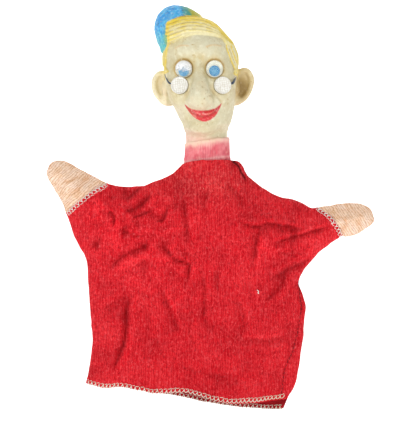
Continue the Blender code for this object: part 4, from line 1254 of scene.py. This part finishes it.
def wrinkles(face, x, z, d):
    """How far the cloth stands out from its smooth shape."""
    p = xyz(x, 0 if face == "front" else 60, z)
    height = 0.95 * noise(p, 26, 50, 2) + 0.5 * noise(p, 9, 51, 2) + 0.16 * noise(p, 3.2, 52, 2)
    height = (height + 0.45 * noise(p * (1, 1, 0.3), 7, 53, 2)) * ramp(d, 0, 7)
    height = height + crumple(face, x, z) * ramp(d, 0, 5)
    for line, width, size in folds_of(face):
        height = height + crease(x, z, line, width, size) * ramp(d, 0, 4)
    if face == "front":
        height = height - 0.55 * bell(line_distance(x, z, curve_through(SIDE_STITCH)), 0.9) * ramp(z, 76, 72)
        height = height - 0.8 * bell(line_distance(x, z, curve_through(LOOSE_FOLD)), 0.8)
    # Gathers under the tie.
    angle = np.arctan2(x - NECK_X, 17.0)
    gather = ramp(z, 128, 146)
    height = height + 0.5 * gather * np.cos(angle * 23 + 2 * noise(p, 12, 54, 1)) * ramp(d, 0, 3)
    height = height - 0.8 * bell(z - 145.4, 2.0) * gather * ramp(d, 0, 3)
    return np.maximum(height, mix(-9.0, -0.2, gather))


def ruffled(x, z):
    """Small sideways unevenness of the cloth, the same for front and back, so that the seams stay closed."""
    p = xyz(x, 0, z)
    inside = ramp(np.hypot((x - NECK_X) / 26, (z - 158) / 22), 0.8, 1.2)
    return x + 0.75 * noise(p, 6, 95, 2) * inside, z + 0.6 * noise(p, 6, 97, 2) * inside


def inside_depth(face, x, z, d, relief=wrinkles):
    """How far the inside of the cloth is from the middle plane."""
    return np.maximum(fullness(x, z, d) + SEAM_GAP * ramp(d, 0, 2.5) + relief(face, x, z, d), 0.0)


def cloth_depth(d, thickness=CLOTH):
    """The cloth's thickness, rounded off at its seams."""
    return thickness * np.sqrt(np.clip(1 - (1 - np.minimum(d / (1.1 * thickness), 1)) ** 2, 0.0004, 1))


def panel(name, face, edges, mats, tint, thickness=CLOTH, relief=wrinkles, uv=None, tuck=None):
    """A panel of cloth between four sampled edges: low and top run with i, start and end run with j."""
    low, top, start, end = [np.asarray(e, dtype=float) for e in edges]
    nu, nv = len(low) - 1, len(start) - 1
    u, v = np.meshgrid(np.linspace(0, 1, nu + 1), np.linspace(0, 1, nv + 1), indexing="ij")
    u, v = u[..., None], v[..., None]
    xz = ((1 - v) * low[:, None] + v * top[:, None] + (1 - u) * start[None] + u * end[None]
          - ((1 - u) * (1 - v) * low[0] + u * (1 - v) * low[-1] + (1 - u) * v * top[0] + u * v * top[-1]))
    x, z = xz[..., 0].ravel(), xz[..., 1].ravel()
    d = seam_distance(x, z)
    inner = inside_depth(face, x, z, d, relief)
    if tuck is not None:
        inner = np.maximum(inner - tuck(x, z), 0.0)
    rx, rz = ruffled(x, z)
    verts = np.concatenate([xyz(rx, OUT[face] * depth, rz) for depth in (inner, inner + cloth_depth(d, thickness))])
    n = len(x)
    index = np.arange(n).reshape(nu + 1, nv + 1)
    quad = np.stack([index[:-1, :-1], index[1:, :-1], index[1:, 1:], index[:-1, 1:]], axis=-1).reshape(-1, 4)
    turn = quad[:, ::-1]
    outside, inside = (quad + n, turn) if face == "front" else (turn + n, quad)
    rim = np.concatenate([index[:, 0], index[-1, 1:], index[-2::-1, -1], index[0, -2:0:-1]])
    nxt = np.roll(rim, -1)
    wall = np.stack([rim, nxt, nxt + n, rim + n], axis=1)
    if face == "back":
        wall = wall[:, ::-1]
    faces = np.concatenate([outside, inside, wall])
    place = xyz(x, 0, z)[:, ::2] / UV_UNIT if uv is None else uv(x, z)
    place = np.tile(place, (2, 1)) + (0 if face == "front" else BACK_UV_SHIFT)
    made = build_mesh(name, verts, faces, mats, place, np.tile(tint(x, z, d), (2, 1)), sharp_edges=50)
    kinds = np.zeros(len(faces), dtype=np.int32)
    kinds[len(outside):len(outside) + len(inside)] = len(mats) - 1
    made.data.polygons.foreach_set("material_index", kinds)
    grid = verts[n:].reshape(nu + 1, nv + 1, 3)
    a = np.cross(grid[1:, :-1] - grid[:-1, :-1], grid[:-1, 1:] - grid[:-1, :-1])
    b = np.cross(grid[1:, :-1] - grid[1:, 1:], grid[:-1, 1:] - grid[1:, 1:])
    area = 0.5 * (np.linalg.norm(a, axis=2).sum() + np.linalg.norm(b, axis=2).sum())
    across, along = [np.linalg.norm(np.diff(grid, axis=k), axis=2).sum(k).max() for k in (0, 1)]
    return made, (across * MM, along * MM, area * MM * MM)


def surface_y(face, x, z, extra=0.0):
    """The outside of the cloth at a place."""
    d = seam_distance(x, z)
    return OUT[face] * (inside_depth(face, x, z, d) + cloth_depth(d) + extra)


def cuff_frame(side):
    """The cuff's low and high corners, the direction between them and the one out over the hand."""
    a, b = np.array(SIDE_SEAM[side][-1]), np.array(TOP_SEAM[side][-1])
    along = unit(b - a)
    away = np.array((-along[1], along[0])) * (1 if side == "right" else -1)
    return a, b, along, away


def stretch_of(line, start, end):
    pts = curve_through(line, 8)
    near = lambda p: min(range(len(pts)), key=lambda i: math.dist(pts[i], p))
    return pts[near(start):near(end) + 1]


def chain(*parts):
    return np.concatenate([parts[0]] + [part[1:] for part in parts[1:]])


FINE = 54


def torso_edges(face):
    low = spaced(curve_through(HEM[face], 8), 2 * FINE)
    right = chain(spaced([tuple(low[0]), *stretch_of(SIDE_SEAM["right"], SIDE_SEAM["right"][0], YOKE["right"][0])[1:]], FINE),
                  spaced(YOKE["right"], FINE))
    left = chain(spaced([tuple(low[-1]), *stretch_of(SIDE_SEAM["left"], SIDE_SEAM["left"][1], YOKE["left"][0])], FINE),
                 spaced(YOKE["left"], FINE))
    few = FINE // 9
    top = chain(spaced([YOKE["right"][-1], COLLAR_LINE[0]], few), spaced(COLLAR_LINE, 2 * FINE - 2 * few),
                spaced([COLLAR_LINE[1], YOKE["left"][-1]], few))
    return low, top, right, left


def collar_edges(face):
    low = spaced(COLLAR_LINE, 2 * FINE - 2 * (FINE // 9))
    rise = 0.0 if face == "front" else 1.2
    top = spaced(curve_through([TOP_SEAM["right"][0], (NECK_X - 8, 153 + rise), (NECK_X + 8, 153.6 + rise),
                                TOP_SEAM["left"][0]], 8), len(low) - 1)
    pucker = noise(np.stack([top[:, 0], np.full(len(top), 9.0 * FACES.index(face)), top[:, 0] * 0], axis=1), 4.2, 58, 2)
    top[1:-1, 1] += 0.75 * pucker[1:-1]
    steps = FINE // 4
    right = spaced([tuple(low[0]), TOP_SEAM["right"][1], tuple(top[0])], steps)
    left = spaced(curve_through(TOP_SEAM["left"][4::-1], 6), steps)
    return low, top, right, left


def yoke_edges(side):
    fold = FOLD[side]
    steps = FINE // 2 - 4
    low = spaced([YOKE[side][0], *stretch_of(SIDE_SEAM[side], YOKE[side][0], fold[0])[1:]], steps)
    top = spaced([YOKE[side][-1], *stretch_of(TOP_SEAM[side], YOKE[side][-1], fold[1])[1:]], steps)
    return low, top, spaced(YOKE[side], FINE), spaced(fold, FINE)






def cuff_bow(side, share):
    """How far the cuff's edge bulges towards the hand, at a share of its length."""
    return 0.5 + (1.3 if side == "right" else 2.3) * np.sin(math.pi * np.clip(share, 0, 1)) ** 1.2


def cuff_edge(side, count):
    a, b, _, away = cuff_frame(side)
    t = np.linspace(0, 1, count + 1)[:, None]
    return a + (b - a) * t + away * cuff_bow(side, t)


def cuff_place(side, x, z):
    """Distances of points out from the cuff's straight line and along it."""
    a, _, along, away = cuff_frame(side)
    return np.stack([(x - a[0]) * way[0] + (z - a[1]) * way[1] for way in (away, along)], axis=1)


def sleeve_edges(side):
    fold = FOLD[side]
    cuff = cuff_edge(side, FINE)
    a, b = cuff[0], cuff[-1]
    steps = FINE // 2 - 4
    low = spaced([fold[0], *stretch_of(SIDE_SEAM[side], fold[0], SIDE_SEAM[side][-1])[1:-1], tuple(a)], steps)
    top = spaced([fold[1], *stretch_of(TOP_SEAM[side], fold[1], TOP_SEAM[side][-1])[1:-1], tuple(b)], steps)
    return low, top, spaced(fold, FINE), cuff


def mitt_edges(side):
    steps = FINE // 2 + 8
    low = spaced(curve_through(MITT_LOW[side], 8), steps)
    top = spaced(curve_through(MITT_TOP[side], 8), steps)
    return low, top, spaced([tuple(low[0]), tuple(top[0])], steps), spaced(curve_through(MITT_TIP[side], 8), steps)


def cloth_tint(face):
    """Painted highlight on the ridges of the folds and crinkles, and painted shade in their valleys, along the rolled
    side seam and in the gap by the loose fold.
    """
    def tint(x, z, d):
        p = xyz(x, 0, z)
        height = np.zeros_like(x)
        shade = np.zeros_like(x)
        for fold in folds_of(face):
            shade = shade + fold_shade(x, z, *fold) * ramp(d, 0, 3)
            height = height + crease(x, z, *fold)
        crinkle = crumple(face, x, z)
        uneven = 1 + 0.35 * noise(p, 2.6, 91, 2)
        # Painted shade in the folds and crinkle valleys, with a random mottle.
        share = shade * uneven + 0.85 * ramp(-crinkle - 0.2, 0.0, 1.0) + 0.22 * ramp(noise(p, 9, 90, 3), 0.1, 0.7)
        if face == "front":
            # Painted shade along the rolled side seam and in the gap beside the loose fold.
            seam = line_distance(x, z, curve_through(SIDE_STITCH))
            loose = line_distance(x, z, curve_through(LOOSE_FOLD))
            share = share + 0.5 * bell(seam, 0.8) * ramp(z, 76, 72) + 0.5 * bell(loose, 1.2)
        share = np.clip(0.85 * share, 0, 0.92)[:, None]
        # Painted highlight on the ridges of the folds and crinkles.
        light = 0.12 * ramp(height, 0.2, 1.2) + 0.16 * ramp(crinkle, 0.1, 0.8)
        faded = blob(x, z, 8, 140, 26, 13)[:, None]
        colour = mix(np.ones(3), np.array((0.47, 0.2, 0.28)), share) * (1 + light)[:, None]
        colour = colour * mix(np.ones(3), np.array((0.96, 1.7, 1.35)), faded)
        # Painted shadow in the gap beside the loose fold, on the front.
        return colour * (1 - 0.9 * bell(loose, 0.6))[:, None] if face == "front" else colour
    return tint


def mitt_relief(side):
    def relief(face, x, z, d):
        p = xyz(x, 0 if face == "front" else 40, z)
        height = (0.5 * noise(p, 9, 60, 2) + 0.14 * noise(p, 2.6, 61, 2)) * ramp(d, 0, 4)
        return height + sum(crease(x, z, *fold) for fold in MITT_FOLDS[side]) * ramp(d, 0, 3)
    return relief


def mitt_tint(side):
    def tint(x, z, d):
        # A random mottle, painted brown shade in the hand's creases, and darker along the seams.
        shade = 0.45 * ramp(noise(xyz(x, 0, z), 5, 63, 3), 0.0, 0.6)
        shade = shade + 1.5 * sum(fold_shade(x, z, *fold) for fold in MITT_FOLDS[side])
        share = np.clip(0.9 * shade + 0.3 * bell(d, 0.9), 0, 1)[:, None]
        return mix(np.ones(3), np.array((0.84, 0.6, 0.4)), share)
    return tint


def mitt_tuck(side):
    """How far the hand's cloth is drawn in to go under the sleeve's edge."""
    a, b, _, _ = cuff_frame(side)

    def tuck(x, z):
        out, up = cuff_place(side, x, z).T
        return 1.3 * ramp(out - cuff_bow(side, up / np.linalg.norm(b - a)), 1.8, 0.0)
    return tuck


def make_tunic(red, lining, peach):
    def put(name, node, face, edges, mats, riding, tint, **more):
        piece, (across, along, area) = panel(name, face, edges, mats, tint, **more)
        if isinstance(riding, str):
            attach(piece, riding)
        else:
            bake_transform(piece)
        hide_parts(node)

    neck = ("torso", "collar", (NECK_X * MM, 0, 0.1365), (NECK_X * MM, 0, 0.150))
    for face in FACES:
        cloth, shade = [red, lining], cloth_tint(face)
        put(f"tunic_body_{face}", f"tunic_{face}", face, torso_edges(face), cloth, neck, shade)
        put(f"neckline_{face}", f"collar_{face}", face, collar_edges(face), cloth, neck, shade)
        for side in SIDES:
            n, a = fold_normal(side), np.array(FOLD[side][0])
            spot = lambda out: ((a[0] + n[0] * out) * MM, 0.0, (a[1] + n[1] * out) * MM)
            start, end = (-17.6, 9.4) if side == "right" else (-15.6, 12.4)
            arm, yoke = f"{side}_arm", f"{side}_shoulder"
            put(f"{side}_shoulder_cloth_{face}", f"{side}_shoulder_{face}", face, yoke_edges(side), cloth,
                ("torso", yoke, spot(start), spot(-0.2)), shade)
            put(f"{side}_sleeve_cloth_{face}", f"{side}_sleeve_{face}", face, sleeve_edges(side), cloth,
                (yoke, arm, spot(0.0), spot(end)), shade)
            put(f"{side}_mitt_{face}", f"{side}_hand_{face}", face, mitt_edges(side), [peach], arm, mitt_tint(side),
                thickness=1.15, relief=mitt_relief(side), tuck=mitt_tuck(side),
                uv=lambda x, z: cuff_place(side, x, z) / UV_UNIT)


# ---------------------------------------------------------------- overlock stitching

def overlock(name, edge, inward, normal, width, pitch, mat, reach=0.3, seed=0):
    """Looped thread over a cloth edge: a zigzag that wraps round the edge and a needle line, as one piece."""
    edge = np.asarray(edge, dtype=float)
    along = np.concatenate([[0], np.cumsum(np.linalg.norm(np.diff(edge, axis=0), axis=1))])
    total = along[-1]
    count = max(4, int(round(total / pitch)))
    at = lambda s, table: np.stack([np.interp(s, along, table[:, k]) for k in range(3)], axis=1)

    def jitter(s, k):
        p = np.stack([s, np.full_like(s, k * 9.1), np.full_like(s, seed * 5.3)], axis=1)
        return noise(p, pitch * 1.3, 70 + k, 1)

    # The looper's thread runs in open, uneven Vs across the edge and wraps round it.
    s = np.linspace(0, total, count * 10 + 1)
    phase = s / pitch * 2 * math.pi + 0.9 * jitter(s, 1)
    saw = np.arcsin(0.97 * np.sin(phase)) / (0.5 * math.pi)
    wander = s + 0.2 * pitch * np.sin(phase + 1.2)
    w = -reach + (width + reach) * (0.5 + 0.54 * saw) + 0.4 * jitter(s, 2)
    height = 0.3 + 0.08 * jitter(s, 3) - 0.6 * ramp(-w, -0.35, reach)
    routes = [at(wander, edge) + at(s, inward) * w[:, None] + at(s, normal) * height[:, None]]
    sizes = [0.27 * (1 + 0.2 * jitter(s, 6))]
    # The needle's line is sunk into the cloth at each stitch.
    w = width - 0.05 + 0.2 * np.sin(phase) + 0.3 * jitter(s, 5)
    height = 0.02 + 0.42 * np.cos(phase + 0.6)
    routes.append(at(s, edge) + at(s, inward) * w[:, None] + at(s, normal) * height[:, None])
    sizes.append(np.full(len(s), 0.18))
    return tubes(name, routes, sizes, mat, 6)


def cloth_edge(face, line, inward2):
    """Points on the outside of the cloth along a line in XZ, with the inward and outward directions."""
    line = np.asarray(line, dtype=float)
    sides = []
    for x, z in (line.T, (line + np.array(inward2) * 1.5).T):
        rx, rz = ruffled(x, z)
        sides.append(xyz(rx, surface_y(face, x, z), rz))
    edge = sides[0]
    inward = unit(sides[1] - edge)
    normal = unit(np.cross(unit(np.gradient(edge, axis=0)), inward))
    normal[np.sign(normal[:, 1]) != OUT[face]] *= -1
    return edge, inward, normal


def make_stitching(white, cream, dark):
    """The rows of thread, and which panel each row is sewn to."""
    made = {}
    for face in FACES:
        hem = spaced(curve_through(HEM[face], 8), 110)[1:-1]
        edge, inward, normal = cloth_edge(face, hem, (0.0, 1.0))
        row = overlock(f"hem_stitching_{face}", edge, inward, normal, STITCH_WIDTH, STITCH_PITCH, cream,
                       seed=1 if face == "front" else 2)
        settle(row, "torso", f"hem_overlock_{face}")
        made[f"tunic_body_{face}"] = [row]
        if face == "back":
            # The back's row shows on its inner side too, where the back hangs lower than the front.
            d = seam_distance(hem[:, 0], hem[:, 1])
            edge = edge.copy()
            edge[:, 1] = np.maximum(inside_depth(face, hem[:, 0], hem[:, 1], d), 0.1)
            row = overlock("hem_stitching_back_inside", edge, inward, -normal, STITCH_WIDTH, STITCH_PITCH, cream,
                           seed=3)
            settle(row, "torso")
            made["tunic_body_back"].append(row)
        for side in SIDES:
            edge, inward, normal = cloth_edge(face, cuff_edge(side, 40)[1:-1], -cuff_frame(side)[3])
            row = overlock(f"{side}_cuff_stitching_{face}", edge, inward, normal, STITCH_WIDTH, STITCH_PITCH, white,
                           seed=4 + FACES.index(face))
            settle(row, f"{side}_arm", f"{side}_cuff_overlock_{face}")
            made[f"{side}_sleeve_cloth_{face}"] = [row]
    # Allowance of each side seam, overlocked, inside the tunic.
    for side, inset, start, end in (("right", 4.0, (-67, 20), (-67, 60)), ("left", -4.0, (69.5, 20), (73.9, 56))):
        line = spaced(stretch_of(SIDE_SEAM[side], start, end), 60)
        inward = np.tile((-math.copysign(1.0, inset), 0.0, 0.0), (len(line), 1))
        normal = np.tile((0.0, -1.0, 0.0), (len(line), 1))
        row = overlock(f"{side}_seam_allowance", xyz(line[:, 0] + inset, 0, line[:, 1]), inward, normal, 2.2, 2.2,
                       cream, seed=8)
        settle(row, "torso", f"{side}_side_seam")
    # A bit of white lint caught on the front.
    curl = np.array([(42.2, 68.9), (42.9, 68.5), (43.2, 67.8), (42.8, 67.1), (43.4, 66.6)])
    bit = xyz(curl[:, 0], surface_y("front", curl[:, 0], curl[:, 1], 0.1), curl[:, 1])
    settle(tubes("lint", [curve_through(bit, 4)], 0.3, white, 5), "torso")
    # Dark stitches of the side seam that has rolled to the front.
    path = spaced(curve_through(SIDE_STITCH, 8), 150)
    px, pz = ruffled(path[:, 0], path[:, 1])
    points = xyz(px, surface_y("front", path[:, 0], path[:, 1], 0.02), pz)
    dashes = [points[i:i + 5] + np.array([(0, sunk, 0) for sunk in (0.35, 0, 0, 0, 0.35)])
              for i in range(0, len(points) - 5, 5)]
    settle(tubes("side_seam_stitches", dashes, 0.26, dark, 5), "torso")
    return made


# ---------------------------------------------------------------- stage

def make_stage():
    profile = [(-6000, -20), (-900, -20), (300, -20), (700, -20)]
    bend = [(700 + 260 * math.sin(a), -20 + 260 * (1 - math.cos(a))) for a in np.linspace(0, math.pi / 2, 16)[1:]]
    profile += bend + [(960, 1200), (960, 2000)]
    xs = np.array((-6000, -3000, -1500, -700, 0, 700, 1500, 3000, 6000))
    verts = [(x, y, z) for y, z in profile for x in xs]
    faces = [[j * 9 + i, j * 9 + i + 1, (j + 1) * 9 + i + 1, (j + 1) * 9 + i]
             for j in range(len(profile) - 1) for i in range(8)]
    verts += [(x, 6000, -21) for x in xs]
    n = len(profile) * 9
    faces += [[3 * 9 + i, 3 * 9 + i + 1, n + i + 1, n + i] for i in range(8)]
    sweep = build_mesh("paper_sweep", verts, faces, studio_paper())


def area_light(name, at, target, size, power, colour=(1, 1, 1)):
    data = bpy.data.lights.new(name, "AREA")
    data.shape = "RECTANGLE"
    data.size, data.size_y = size
    data.energy = power
    data.color = colour
    lamp = bpy.data.objects.new(name, data)
    lamp.location = at
    lamp.visible_camera = False
    lamp.rotation_euler = (Vector(target) - Vector(at)).to_track_quat("-Z", "Y").to_euler()
    bpy.context.scene.collection.objects.link(lamp)


def make_camera_and_lights():
    data = bpy.data.cameras.new("camera")
    data.lens = 300
    data.sensor_width = 36
    data.clip_start, data.clip_end = 0.05, 40
    camera = bpy.data.objects.new("camera", data)
    middle = Vector((0.0052, -0.012, 0.1206))
    camera.location = middle + Vector((0, -2.28, 0))
    camera.rotation_euler = (math.radians(90), 0, 0)
    bpy.context.scene.collection.objects.link(camera)
    bpy.context.scene.camera = camera

    world = bpy.data.worlds.new("studio_air")
    world.use_nodes = True
    back = world.node_tree.nodes["Background"]
    back.inputs["Color"].default_value = (1.0, 1.0, 1.0, 1)
    back.inputs["Strength"].default_value = 1.0
    nodes, links = world.node_tree.nodes, world.node_tree.links
    place, split = nodes.new("ShaderNodeTexCoord"), nodes.new("ShaderNodeSeparateXYZ")
    level, sky = nodes.new("ShaderNodeMath"), nodes.new("ShaderNodeValToRGB")
    level.operation = "ABSOLUTE"
    sky.color_ramp.elements[0].position, sky.color_ramp.elements[0].color = 0.10, (0.80, 0.80, 0.80, 1)
    sky.color_ramp.elements[1].position, sky.color_ramp.elements[1].color = 0.30, (0.26, 0.26, 0.26, 1)
    links.new(place.outputs["Generated"], split.inputs[0])
    links.new(split.outputs["Z"], level.inputs[0])
    links.new(level.outputs[0], sky.inputs["Fac"])
    links.new(sky.outputs["Color"], back.inputs["Color"])
    bpy.context.scene.world = world
    area_light("key", (-0.40, -0.80, 0.60), (0.0, 0.0, 0.13), (0.5, 0.5), 2.9)
    area_light("fill", (0.62, -0.85, 0.30), (0.0, 0.0, 0.12), (0.8, 0.8), 1.6)
    area_light("low_front", (0.0, -1.1, 0.012), (0.0, 0.0, 0.06), (0.7, 0.05), 0.55)
    area_light("back_wash", (0.0, 0.25, 1.1), (0.0, 0.95, 0.1), (1.6, 0.5), 6.0)
    bpy.context.scene.view_settings.view_transform = "Standard"
    bpy.context.scene.view_settings.look = "None"


# ---------------------------------------------------------------- everything together

make_camera_and_lights()
make_stage()

rubber, collar_rubber = head_rubber(), neck_rubber()
head = make_head(rubber)
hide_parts("head_shell")
make_turtleneck(collar_rubber)
# The right dome's top carries a painted reflection of the lamp, painted white.
make_eyes(cup_plastic(), pupil_blue(), (clear_plastic("clear_dome_right_painted_glare", 0.2102, 0.2146),
                                         clear_plastic("clear_dome_left", 0.2182, 0.2212)))
make_spectacles(lens_plastic(), dark_wire())

white = thread("white_overlock_thread", (246, 243, 236), (208, 198, 182))
cream = thread("cream_overlock_thread", (244, 238, 224), (206, 192, 164), (222, 190, 112))
dark = thread("dark_seam_thread", (84, 8, 20), (50, 4, 14))
stitching = make_stitching(white, cream, dark)
make_tunic(red_flannel(), red_lining(), peach_flannel())

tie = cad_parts["neck_tie"]
tie.data.materials.clear()
tie.data.materials.append(white)
